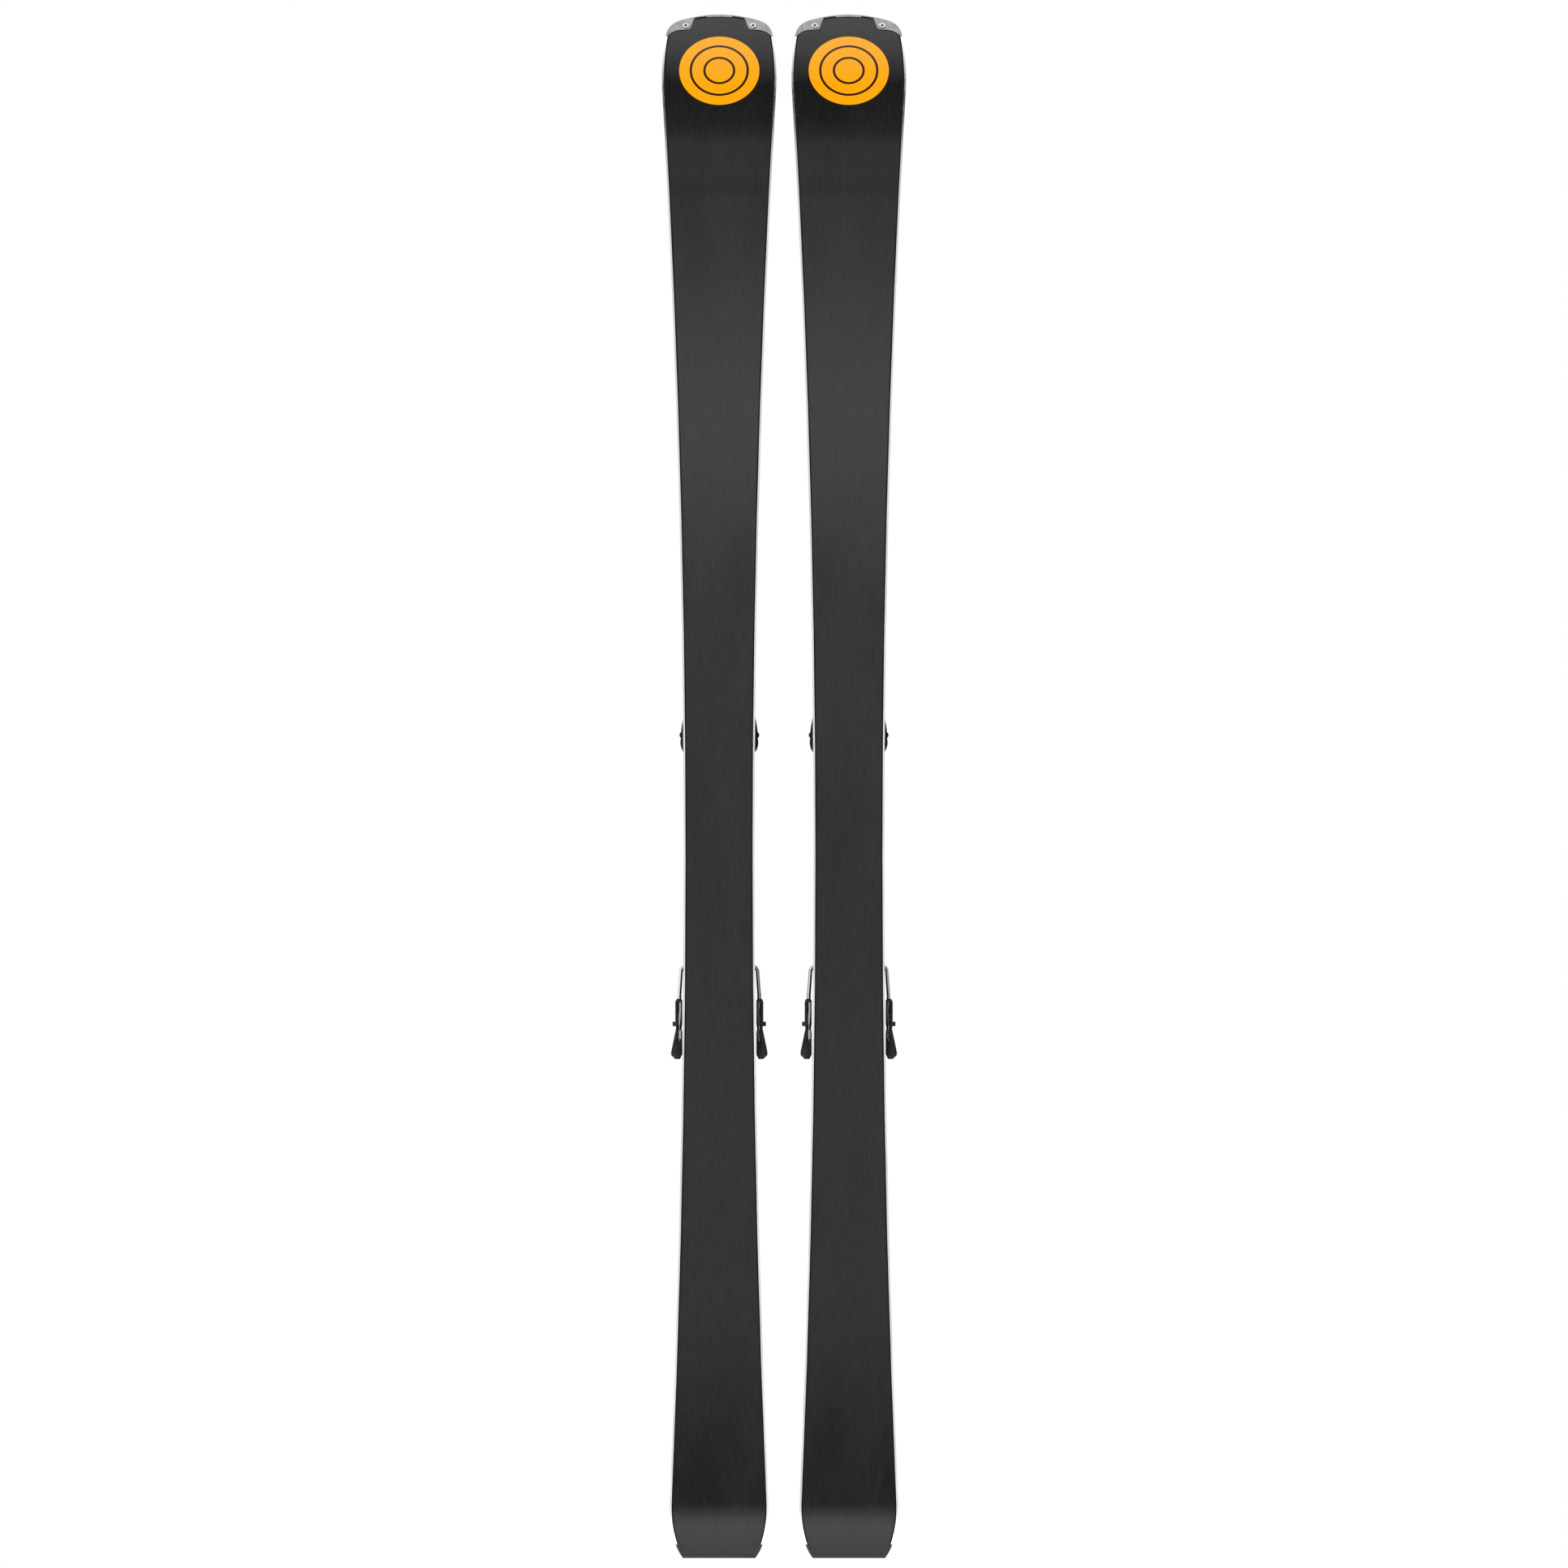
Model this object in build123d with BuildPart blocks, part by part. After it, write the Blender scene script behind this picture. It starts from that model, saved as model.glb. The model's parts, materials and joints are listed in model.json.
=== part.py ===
"""Pair of alpine skis with bindings, lying base down, tips towards +Y.

The origin is on the floor between the skis, midway between tip and tail.
Each ski is modelled about X = 0 and written twice, to the left and to the right.
Lengths are in millimetres.
"""

import os
from math import asin, atan2, cos, degrees, hypot, radians, sin, sqrt

from build123d import *

# ---------------------------------------------------------------- the pair
ski_spacing = 144.0  # from centre line to centre line
ski_sides = {"left": -ski_spacing / 2, "right": ski_spacing / 2}

# ---------------------------------------------------------------- ski, seen from above
ski_length = 1718.0
tip_y = ski_length / 2
tail_y = -ski_length / 2
waist_y = -80.0
waist_half_width = 39.2
front_sidecut_radius = 15000.0
rear_sidecut_radius = 16600.0
tip_round_length = 91.0  # from the tip back to the end of the sidecut
tail_round_length = 62.0
front_sidecut_end_y = tip_y - tip_round_length
rear_sidecut_end_y = tail_y + tail_round_length
tip_side_radius = 300.0
tip_corner_radius = 21.0
nose_radius = 140.0
tail_side_radius = 130.0
tail_corner_radius = 55.0
tail_corner_length = 15.5
tail_corner_y = tail_y + tail_corner_length

# ---------------------------------------------------------------- ski, seen from the side
tip_rise_length = 194.0
tail_rise_length = 52.0
tip_contact_y = tip_y - tip_rise_length
tail_contact_y = tail_y + tail_rise_length
tip_rise_radius = 320.0
tail_rise_radius = 220.0
deck_front_y = 250.0
deck_rear_y = -410.0
deck_height = 15.0
tip_thickness = 5.0
tail_thickness = 6.0

# ---------------------------------------------------------------- ski layers
base_thickness = 1.4
laminate_thickness = 0.5
topsheet_thickness = 0.6
edge_width = 2.0
edge_height = base_thickness + laminate_thickness
sidewall_width = 5.0
sidewall_setback = 0.3
laminate_setback = 0.8
topsheet_setback = 1.3
core_depth = topsheet_thickness + laminate_thickness

# ---------------------------------------------------------------- end guards
tip_guard_rim = 2.5
tip_guard_slim_rim = 1.2
tip_guard_length = 25.0
tip_guard_start_y = tip_y - tip_guard_length
tip_guard_skin = 0.8
tip_plate_inner_x = 28.0
tip_plate_nose = 3.5  # straight part of the plate's inner side
# the plate's rounded inner corner and its curved rear side: start, middle and end of each arc,
# from the inner side and the guard's start
tip_plate_corner = [(3.6, 10.2), (5.2, 8.1), (8.4, 7.2)]
tip_plate_sole = [(16.0, 6.8), (23.5, 4.6), (29.8, 0.0)]
tip_notch_x = 14.0
tip_cap_length = 21.0
tip_cap_start_y = tip_y - tip_cap_length
tail_guard_rim = 4.0
tail_guard_skin = 0.8
tail_cap_length = 21.0
tail_cap_start_y = tail_y + tail_cap_length
guard_screw_x = 37.5
guard_screw_setback = 14.0
guard_screw_y = tip_y - guard_screw_setback
guard_screw_radius = 1.5
guard_screw_length = 3.0
guard_screw_head_radius = 3.3
guard_screw_head_height = 1.1
cross_recess_length = 2.3  # in shank radii
cross_recess_width = 0.4

# ---------------------------------------------------------------- fits
running_clearance = 0.05
fixed_clearance = 0.03
slide_clearance = 0.2
swing_clearance = 0.5

# ---------------------------------------------------------------- binding rail
rail_front_y = 152.0
rail_rear_y = -362.0
rail_foot_half_width = 32.0
rail_foot_height = 2.0
rail_web_half_width = 20.0
rail_head_half_width = 28.0
rail_head_height = 2.5
rail_height = 8.0
rail_end_radius = 3.0
rail_top = deck_height + rail_height
rail_screw_x = 12.0
rail_screw_y = [140.0, 60.0, -20.0, -100.0, -180.0, -260.0, -345.0]
rail_screw_radius = 2.75
rail_screw_head_radius = 5.0
rail_screw_head_height = 2.6
rail_screw_depth = 9.0

# ---------------------------------------------------------------- shoes that grip the rail
shoe_half_width = 33.0
shoe_lip_gap = 0.4
shoe_corner_radius = 3.0

# ---------------------------------------------------------------- boot that the binding takes
boot_toe_y = 58.0
boot_heel_y = -247.0
boot_toe_radius = 41.5
boot_toe_sole = 19.0
boot_heel_sole = 30.0
boot_clearance = 1.0
toe_stand_height = 37.0
heel_stand_height = 41.0

# ---------------------------------------------------------------- toe piece
toe_base_front_y = 138.0
toe_base_rear_y = -10.0
toe_base_top = rail_top + 8.0
toe_pad_front_y = 40.0
toe_pad_rear_y = -6.0
toe_pad_half_width = 31.0
toe_pad_key_y = 17.0
toe_pad_key_width = 12.0
toe_pad_key_depth = 3.0
toe_pad_key_half_length = 24.0
toe_pad_corner_radius = 6.0
toe_pad_edge = 1.0
wing_pin_x = 22.0
wing_pin_y = 76.0
wing_pin_radius = 3.0
wing_pin_foot = 5.0
wing_pin_head = 7.0
wing_boss_radius = 9.0
wing_top = toe_stand_height + boot_toe_sole + 6.5
wing_bottom = toe_stand_height + 1.2
wing_lip_reach = 5.0
wing_lip_height = 5.0
wing_tip_y = 35.6
wing_outer_x = 43.0
wing_side_inset = 3.0  # from the widest point in to the hip and the tip
wing_hip_drop = 2.0  # from the pin back to the hip
wing_side_drop = 4.5  # from the knob back to the widest point
wing_shoulder_bulge = (12.0, 6.0)  # crest of the shoulder, from the pin
wing_hip_bulge = (0.7, 7.5)  # middle of the hip's curve, from the side and the knob
wing_tip_bulge = (0.5, 5.0)  # middle of the tip's curve, from the side and the tip
wing_grip_start_x = 24.0
wing_grip_end_x = 36.2
wing_web = (0.87, 0.5)  # where the inner side leaves the boss, in its radii
wing_lip_drop = 0.5
wing_lip_length = 20.0
wing_knob_y = 54.5
wing_knob_radius = 4.0
wing_knob_reach = 44.5
wing_knob_height = 12.0
toe_housing_half_width = 29.0
toe_housing_wall_y = 91.0
toe_housing_rear_y = 62.0
toe_housing_front_y = 146.0
toe_housing_top = 75.0
toe_housing_nose_radius = 16.0
toe_housing_edge_radius = 4.0
toe_housing_lip = 4.0  # upright rear edge over the wings
toe_crown_run = 20.0  # from the rear edge to the flat of the crown
toe_crown_bulge = (8.0, 2.6)
toe_slope_run = 38.0  # from the flat of the crown to the front
toe_slope_bulge = (14.0, 9.0)
toe_brow = (3.0, 6.0)  # top of the front face, from the front and the screw's axis
toe_plinth = 5.0
toe_bore_y = 94.0
toe_bore_end_y = 128.0
toe_bore_height = 46.0
spring_bore_radius = 12.0
toe_spring_coil_radius = 9.4
toe_spring_wire_radius = 1.6
toe_spring_turns = 5
toe_screw_land_y = 140.0
toe_screw_recess = 1.5
toe_piston_half_width = 17.0
toe_piston_height = 10.0

# ---------------------------------------------------------------- release screws
release_screw_radius = 5.0
release_screw_head_radius = 8.0
release_screw_head_height = 5.0
release_screw_slot_width = 2.0
release_screw_slot_depth = 2.5
release_screw_edge_radius = 1.2
spring_seat_height = 3.0
piston_rod_radius = 4.0
piston_rod_length = 7.0

# ---------------------------------------------------------------- heel piece
carriage_front_y = -168.0
carriage_rear_y = -335.0
carriage_top = rail_top + 7.0
heel_pivot_y = -312.0
heel_pivot_height = 42.0
heel_pin_radius = 3.0
heel_housing_half_width = 26.0
heel_ear_thickness = 5.0
heel_ear_length = 26.0
heel_ear_top = 50.0
heel_pad_front_y = -214.0
heel_pad_rear_y = -250.0
heel_pad_corner_radius = 4.0
heel_housing_rear_y = -338.0
heel_housing_top = 94.0
heel_housing_edge_radius = 6.0
heel_chin = 8.0  # how far the front face reaches below the cup
heel_belly_run = 16.0
heel_throat_drop = 4.0
heel_belly = [(12.0, -9.0), (-10.0, -5.0)]  # underside, from the pivot
heel_back_height = 9.0  # rear face's lower end, over the pivot
heel_back_top = 10.0  # rear face's upper end, over the screw's axis
heel_crown_run = 38.0
heel_crown_bulge = (12.0, 10.0)
heel_brow = (12.0, 8.0)
heel_bore_front_y = -275.0
heel_bore_rear_y = -329.0
heel_bore_height = 60.0
heel_spring_coil_radius = 9.4
heel_spring_wire_radius = 1.9
heel_spring_turns = 7
heel_cup_inner_radius = 36.3
heel_cup_wall = 4.7
heel_cup_bottom = 58.0
heel_cup_lip = 6.0
heel_cup_lip_height = 7.0
heel_cup_angle = 62.0
lever_pivot_y = -300.0
lever_pivot_height = 88.0
lever_pin_radius = 3.0
lever_pin_length = 4.0
lever_cheek_thickness = 4.0
lever_bottom = heel_housing_top + 2.0
lever_thickness = 5.0
lever_rear_y = -374.0
lever_front_y = -282.0
lever_corner_radius = 10.0
lever_edge_radius = 2.0
lever_boss_radius = 8.0
lever_dimple_y = lever_rear_y + 20.0
lever_dimple_radius = 8.0
lever_dimple_depth = 2.0

# ---------------------------------------------------------------- ski brake
brake_pivot_y = -203.0
brake_pivot_height = 35.0
brake_wire_radius = 2.25
brake_wire_bend = 6.0
brake_pedal_x = 11.0
brake_arm_x = 44.4
brake_arm_lead = 2.3  # how much nearer to the ski the arm is at its front bend
brake_arm_straight = 4.0  # length of straight arm in front of the shoe
brake_arm_easing = 30.0  # bend radius where the arm straightens
brake_wire_end_y = -288.0
brake_bearing_inner_x = 18.0
brake_bearing_outer_x = 30.0
brake_bearing_length = 14.0
brake_bearing_top = brake_pivot_height + 5.0
brake_pedal_front_y = -170.0
brake_pedal_rear_y = -191.0
brake_pedal_half_width = 24.0
brake_pedal_bottom = carriage_top + 1.0
brake_pedal_top = heel_stand_height - 0.8
brake_pedal_socket = 14.0
brake_pedal_corner_radius = 5.0
brake_pedal_edge = 1.2
brake_shoe_inner_x = 41.2
brake_shoe_outer_x = 49.0
brake_shoe_flare_x = 53.6
brake_shoe_front_y = -239.0
brake_shoe_end_y = -306.0
brake_shoe_half_height = 7.0
brake_shoe_edge = 0.6
brake_shoe_corner = (1.4, 2.0)
brake_shoe_shoulder = (1.8, 3.0)
brake_shoe_waist_y = -272.0
brake_shoe_waist = 0.8
brake_shoe_waist_run = 5.0
brake_shoe_flare_end = 8.0  # from the end forwards
brake_shoe_tip = (4.5, 4.5)
brake_shoe_toe = (2.5, 5.0)
brake_nub_y = -267.0
brake_nub = (4.0, 5.0, 4.0)
brake_slot_width = 3.4
brake_slot_margin = 4.0

overrun = 6.0  # how far a cutting or crossing shape runs past what it meets
beyond_width = 3 * waist_half_width  # half as wide as what cuts right across the ski


def s_curve(start, end):
    """Two equal arcs, level at both ends, from start up or down to end."""
    run = (end[0] - start[0]) / 2
    rise = (end[1] - start[1]) / 2
    radius = (run**2 + rise**2) / (2 * abs(rise))
    turn = degrees(asin(run / radius))
    if rise < 0:
        turn = -turn
    first = JernArc(start, (1, 0), radius, turn)
    JernArc(first @ 1, first % 1, radius, -turn)


def tail_rise(height):
    """Tail's upward curve, from its contact line backwards; returns its far end."""
    turn = degrees(asin((tail_contact_y - tail_y + overrun) / tail_rise_radius))
    arc = JernArc((tail_contact_y, height), (-1, 0), tail_rise_radius, -turn)
    return arc @ 1


def tip_rise(height):
    """Tip's upward curve, from its contact line forwards; returns its far end."""
    turn = degrees(asin((tip_y + overrun - tip_contact_y) / tip_rise_radius))
    arc = JernArc((tip_contact_y, height), (1, 0), tip_rise_radius, turn)
    return arc @ 1


def base_line(height):
    """Side view of the base, raised by height; returns its two ends."""
    rear = tail_rise(height)
    Line((tail_contact_y, height), (tip_contact_y, height))
    return rear, tip_rise(height)


def deck_line(depth):
    """Side view of the top surface, lowered by depth; returns its two ends."""
    tail_height = tail_thickness - depth
    deck = deck_height - depth
    tip_height = tip_thickness - depth
    rear = tail_rise(tail_height)
    s_curve((tail_contact_y, tail_height), (deck_rear_y, deck))
    Line((deck_rear_y, deck), (deck_front_y, deck))
    s_curve((deck_front_y, deck), (tip_contact_y, tip_height))
    return rear, tip_rise(tip_height)


def side_band(lower_line, lower, upper_line, upper):
    """Side view of one layer, between two such lines."""
    with BuildSketch(Plane.YZ) as band:
        with BuildLine():
            low_rear, low_front = lower_line(lower)
            high_rear, high_front = upper_line(upper)
            Line(low_rear, high_rear)
            Line(low_front, high_front)
        make_face()
    return band.sketch


def base_height(y):
    """Height of the base over the floor near the tip."""
    return tip_rise_radius - sqrt(tip_rise_radius**2 - (y - tip_contact_y) ** 2)


def circles_meet(first_center, first_radius, second_center, second_radius):
    """The right-hand point where two circles cross."""
    dx = second_center[0] - first_center[0]
    dy = second_center[1] - first_center[1]
    apart = hypot(dx, dy)
    along = (apart**2 + first_radius**2 - second_radius**2) / (2 * apart)
    across = sqrt(first_radius**2 - along**2)
    middle = (first_center[0] + along * dx / apart, first_center[1] + along * dy / apart)
    options = [
        (middle[0] + side * across * dy / apart, middle[1] - side * across * dx / apart)
        for side in (1, -1)
    ]
    return max(options)


def angle_of(point, center):
    return degrees(atan2(point[1] - center[1], point[0] - center[0]))


def ski_outline(setback=0.0):
    """The ski seen from above, its rim moved inwards by setback."""
    half_width = waist_half_width - setback
    front_turn = asin((front_sidecut_end_y - waist_y) / front_sidecut_radius)
    rear_turn = asin((waist_y - rear_sidecut_end_y) / rear_sidecut_radius)
    tail_widest_y = rear_sidecut_end_y - tail_side_radius * sin(rear_turn)
    tail_turn = asin((tail_widest_y - tail_corner_y) / tail_side_radius)
    corner_center_y = tail_corner_y + tail_corner_radius * sin(tail_turn)
    end_turn = asin((corner_center_y - tail_y - setback) / (tail_corner_radius - setback))
    nose_center = (0, tip_y - nose_radius)
    with BuildSketch() as outline:
        with BuildLine():
            front = JernArc(
                (half_width, waist_y), (0, 1), front_sidecut_radius + setback, -degrees(front_turn)
            )
            widening_end = front @ 1
            side_radius = tip_side_radius - setback
            side_center = (
                widening_end.X - side_radius * cos(front_turn),
                widening_end.Y + side_radius * sin(front_turn),
            )
            corner = circles_meet(side_center, side_radius, nose_center, nose_radius - setback)
            side_end = angle_of(corner, side_center)
            CenterArc(side_center, side_radius, -degrees(front_turn), side_end + degrees(front_turn))
            nose_start = angle_of(corner, nose_center)
            CenterArc(nose_center, nose_radius - setback, nose_start, 90 - nose_start)
            rear = JernArc((half_width, waist_y), (0, -1), rear_sidecut_radius + setback, degrees(rear_turn))
            tail = JernArc(rear @ 1, rear % 1, tail_side_radius - setback, -degrees(rear_turn + tail_turn))
            end = JernArc(tail @ 1, tail % 1, tail_corner_radius - setback, -degrees(end_turn - tail_turn))
            Line(end @ 1, (0, tail_y + setback))
            mirror(about=Plane.YZ)
        make_face()
        nose_corners = [
            vertex
            for vertex in outline.vertices()
            if abs(vertex.Y - corner[1]) < 0.01 and abs(abs(vertex.X) - corner[0]) < 0.01
        ]
        fillet(nose_corners, tip_corner_radius - setback)
    return outline.sketch


full_outline = ski_outline()


def strip(rear_y, front_y):
    """A crosswise strip wider than the ski."""
    with BuildSketch() as crosswise:
        with Locations((0, (rear_y + front_y) / 2)):
            Rectangle(2 * beyond_width, front_y - rear_y)
    return crosswise.sketch


tip_zone = strip(tip_guard_start_y, tip_y + overrun)
tail_zone = strip(tail_y - overrun, tail_corner_y)
with BuildSketch() as tip_rim:
    add(full_outline)
    add(ski_outline(tip_guard_rim), mode=Mode.SUBTRACT)
    add(tip_zone, mode=Mode.INTERSECT)
with BuildSketch() as tail_rim:
    add(full_outline)
    add(ski_outline(tail_guard_rim), mode=Mode.SUBTRACT)
    add(tail_zone, mode=Mode.INTERSECT)


def layer_plan(setback, inner_setback=None):
    """A layer seen from above, clear of the end guards; a rim when inner_setback is given."""
    with BuildSketch() as plan:
        add(ski_outline(setback))
        add(tip_rim.sketch, mode=Mode.SUBTRACT)
        add(tail_rim.sketch, mode=Mode.SUBTRACT)
        if inner_setback is not None:
            add(ski_outline(inner_setback), mode=Mode.SUBTRACT)
    return plan.sketch


layer_height = base_height(tip_y) + tip_thickness + 4 * overrun


def layer(band, plan):
    """Inside a part: the layer with that side view and that plan, bent as the ski is."""
    extrude(band, amount=beyond_width, both=True)
    extrude(Plane.XY.offset(-overrun) * plan, amount=layer_height, mode=Mode.INTERSECT)


def guard_screw_plane(side):
    """Plane on the base at a guard screw, facing out of the base."""
    lean = asin((guard_screw_y - tip_contact_y) / tip_rise_radius)
    return Plane(
        origin=(side * guard_screw_x, guard_screw_y, base_height(guard_screw_y)),
        x_dir=(1, 0, 0),
        z_dir=(0, sin(lean), -cos(lean)),
    )


def cut_guard_screw_holes():
    """Inside a part: the two guard screws' holes."""
    for side in (-1, 1):
        with BuildSketch(guard_screw_plane(side).offset(-guard_screw_length - fixed_clearance)) as hole:
            Circle(guard_screw_radius + fixed_clearance)
        extrude(hole.sketch, amount=guard_screw_length + 2 * tip_guard_skin, mode=Mode.SUBTRACT)


rail_screw_points = [(side * rail_screw_x, y) for side in (-1, 1) for y in rail_screw_y]


def cut_rail_screw_holes():
    """Inside a part: the rail screws' holes, from their points up."""
    with BuildSketch(Plane.XY.offset(deck_height - rail_screw_depth)) as holes:
        with Locations(*rail_screw_points):
            Circle(rail_screw_radius + fixed_clearance)
    extrude(holes.sketch, amount=rail_screw_depth + rail_height, mode=Mode.SUBTRACT)


# ================================================================ the ski's layers
with BuildPart() as base_sheet:
    layer(side_band(base_line, 0, base_line, base_thickness), layer_plan(edge_width))
    cut_guard_screw_holes()

with BuildPart() as steel_edges:
    layer(side_band(base_line, 0, base_line, edge_height), layer_plan(0, edge_width))
    with BuildSketch(Plane.XY.offset(-overrun)):
        add(strip(tail_corner_y, tip_guard_start_y))
    extrude(amount=layer_height, mode=Mode.INTERSECT)

with BuildPart() as lower_laminate:
    layer(side_band(base_line, base_thickness, base_line, edge_height), layer_plan(edge_width))
    cut_guard_screw_holes()

with BuildPart() as wood_core:
    layer(
        side_band(base_line, edge_height, deck_line, core_depth),
        layer_plan(sidewall_setback + sidewall_width),
    )
    cut_guard_screw_holes()
    cut_rail_screw_holes()

with BuildPart() as sidewalls:
    layer(
        side_band(base_line, edge_height, deck_line, core_depth),
        layer_plan(sidewall_setback, sidewall_setback + sidewall_width),
    )

with BuildPart() as upper_laminate:
    layer(
        side_band(deck_line, core_depth, deck_line, topsheet_thickness),
        layer_plan(laminate_setback),
    )
    cut_rail_screw_holes()

with BuildPart() as topsheet:
    layer(side_band(deck_line, topsheet_thickness, deck_line, 0), layer_plan(topsheet_setback))
    cut_rail_screw_holes()

# ================================================================ end guards
def plate_points(offsets):
    """Points on the right-hand tip plate's outline."""
    return [(tip_plate_inner_x + x, tip_guard_start_y + y) for x, y in offsets]


with BuildSketch() as tip_plates_plan:
    with BuildLine():
        corner_arc = ThreePointArc(*plate_points(tip_plate_corner))
        sole_arc = ThreePointArc(*plate_points(tip_plate_sole))
        Line(corner_arc @ 1, sole_arc @ 0)
        Polyline(
            sole_arc @ 1,
            (beyond_width, tip_guard_start_y),
            (beyond_width, tip_y + overrun),
            (tip_plate_inner_x, tip_y + overrun),
            (tip_plate_inner_x, tip_y - tip_plate_nose),
            corner_arc @ 0,
        )
    make_face()
    mirror(about=Plane.YZ)
    add(full_outline, mode=Mode.INTERSECT)

notch_x = (tip_notch_x + tip_plate_inner_x) / 2
with BuildSketch() as notch_spans:
    with Locations((-notch_x, tip_y), (notch_x, tip_y)):
        Rectangle(tip_plate_inner_x - tip_notch_x, 2 * overrun + 4 * tip_guard_rim)

with BuildSketch() as tip_notches:
    add(ski_outline(tip_guard_slim_rim))
    add(ski_outline(tip_guard_rim), mode=Mode.SUBTRACT)
    add(notch_spans.sketch, mode=Mode.INTERSECT)

with BuildSketch() as tip_cap_plan:
    add(full_outline)
    add(strip(tip_cap_start_y, tip_y + overrun), mode=Mode.INTERSECT)

with BuildSketch() as tail_cap_plan:
    add(full_outline)
    add(strip(tail_y - overrun, tail_cap_start_y), mode=Mode.INTERSECT)

with BuildPart() as tip_rim_band:
    layer(side_band(base_line, -tip_guard_skin, deck_line, -tip_guard_skin), tip_rim.sketch)
    with BuildSketch(Plane.XY.offset(-overrun)):
        add(tip_notches.sketch)
    extrude(amount=layer_height, mode=Mode.SUBTRACT)

with BuildPart() as tip_plates:
    layer(side_band(base_line, -tip_guard_skin, base_line, 0), tip_plates_plan.sketch)
    cut_guard_screw_holes()

with BuildPart() as tip_cap:
    layer(side_band(deck_line, 0, deck_line, -tip_guard_skin), tip_cap_plan.sketch)

with BuildPart() as tip_guard:
    add(tip_rim_band.part)
    add(tip_plates.part)
    add(tip_cap.part)

with BuildPart() as tip_guard_screws:
    for side in (-1, 1):
        with BuildSketch(guard_screw_plane(side).offset(-guard_screw_length)):
            Circle(guard_screw_radius)
        extrude(amount=guard_screw_length + tip_guard_skin)
        with BuildSketch(guard_screw_plane(side).offset(tip_guard_skin)):
            Circle(guard_screw_head_radius)
        extrude(amount=guard_screw_head_height)
        with BuildSketch(guard_screw_plane(side).offset(tip_guard_skin + guard_screw_head_height)):
            Rectangle(cross_recess_length * guard_screw_radius, cross_recess_width * guard_screw_radius)
            Rectangle(cross_recess_width * guard_screw_radius, cross_recess_length * guard_screw_radius)
        extrude(amount=-guard_screw_head_height / 2, mode=Mode.SUBTRACT)

with BuildPart() as tail_cap:
    layer(side_band(deck_line, 0, deck_line, -tail_guard_skin), tail_cap_plan.sketch)

with BuildPart() as tail_guard:
    layer(side_band(base_line, 0, deck_line, -tail_guard_skin), tail_rim.sketch)
    add(tail_cap.part)


# ================================================================ binding rail
rail_head_bottom = rail_top - rail_head_height

with BuildPart() as binding_rail:
    with BuildSketch(Plane.XZ.offset(-rail_front_y)):
        with Locations((0, deck_height)):
            Rectangle(2 * rail_foot_half_width, rail_foot_height, align=(Align.CENTER, Align.MIN))
            Rectangle(2 * rail_web_half_width, rail_height, align=(Align.CENTER, Align.MIN))
        with Locations((0, rail_head_bottom)):
            Rectangle(2 * rail_head_half_width, rail_head_height, align=(Align.CENTER, Align.MIN))
    extrude(amount=rail_front_y - rail_rear_y)
    fillet(edges().filter_by(Axis.Z), rail_end_radius)
    cut_rail_screw_holes()
    with Locations(*[(x, y, rail_top) for x, y in rail_screw_points]):
        Cone(
            rail_screw_radius + fixed_clearance,
            rail_screw_head_radius + fixed_clearance,
            rail_screw_head_height,
            align=(Align.CENTER, Align.CENTER, Align.MAX),
            mode=Mode.SUBTRACT,
        )

with BuildPart() as rail_screws:
    with Locations(*[(x, y, rail_top) for x, y in rail_screw_points]):
        Cone(
            rail_screw_radius,
            rail_screw_head_radius,
            rail_screw_head_height,
            align=(Align.CENTER, Align.CENTER, Align.MAX),
        )
        Cylinder(
            rail_screw_radius,
            rail_height + rail_screw_depth,
            align=(Align.CENTER, Align.CENTER, Align.MAX),
        )
        Box(
            cross_recess_length * rail_screw_radius,
            cross_recess_width * rail_screw_radius,
            rail_screw_head_height,
            mode=Mode.SUBTRACT,
        )
        Box(
            cross_recess_width * rail_screw_radius,
            cross_recess_length * rail_screw_radius,
            rail_screw_head_height,
            mode=Mode.SUBTRACT,
        )


def rail_shoe(rear_y, front_y, top):
    """Inside a part: a block along the rail, whose lips grip the rail's head."""
    bottom = deck_height + rail_foot_height + shoe_lip_gap
    slot_bottom = rail_head_bottom - slide_clearance
    with BuildSketch(Plane.XZ.offset(-front_y)) as section:
        with Locations((0, bottom)):
            Rectangle(2 * shoe_half_width, top - bottom, align=(Align.CENTER, Align.MIN))
            Rectangle(
                2 * (rail_web_half_width + shoe_lip_gap),
                rail_top - bottom,
                align=(Align.CENTER, Align.MIN),
                mode=Mode.SUBTRACT,
            )
        with Locations((0, slot_bottom)):
            Rectangle(
                2 * (rail_head_half_width + slide_clearance),
                rail_head_height + 2 * slide_clearance,
                align=(Align.CENTER, Align.MIN),
                mode=Mode.SUBTRACT,
            )
    extrude(section.sketch, amount=front_y - rear_y)


def outer_corners():
    """Inside a part: the upright edges at its four outer corners."""
    upright = edges().filter_by(Axis.Z)
    return [edge for edge in upright if abs(abs(edge.center().X) - shoe_half_width) < 0.01]


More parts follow.
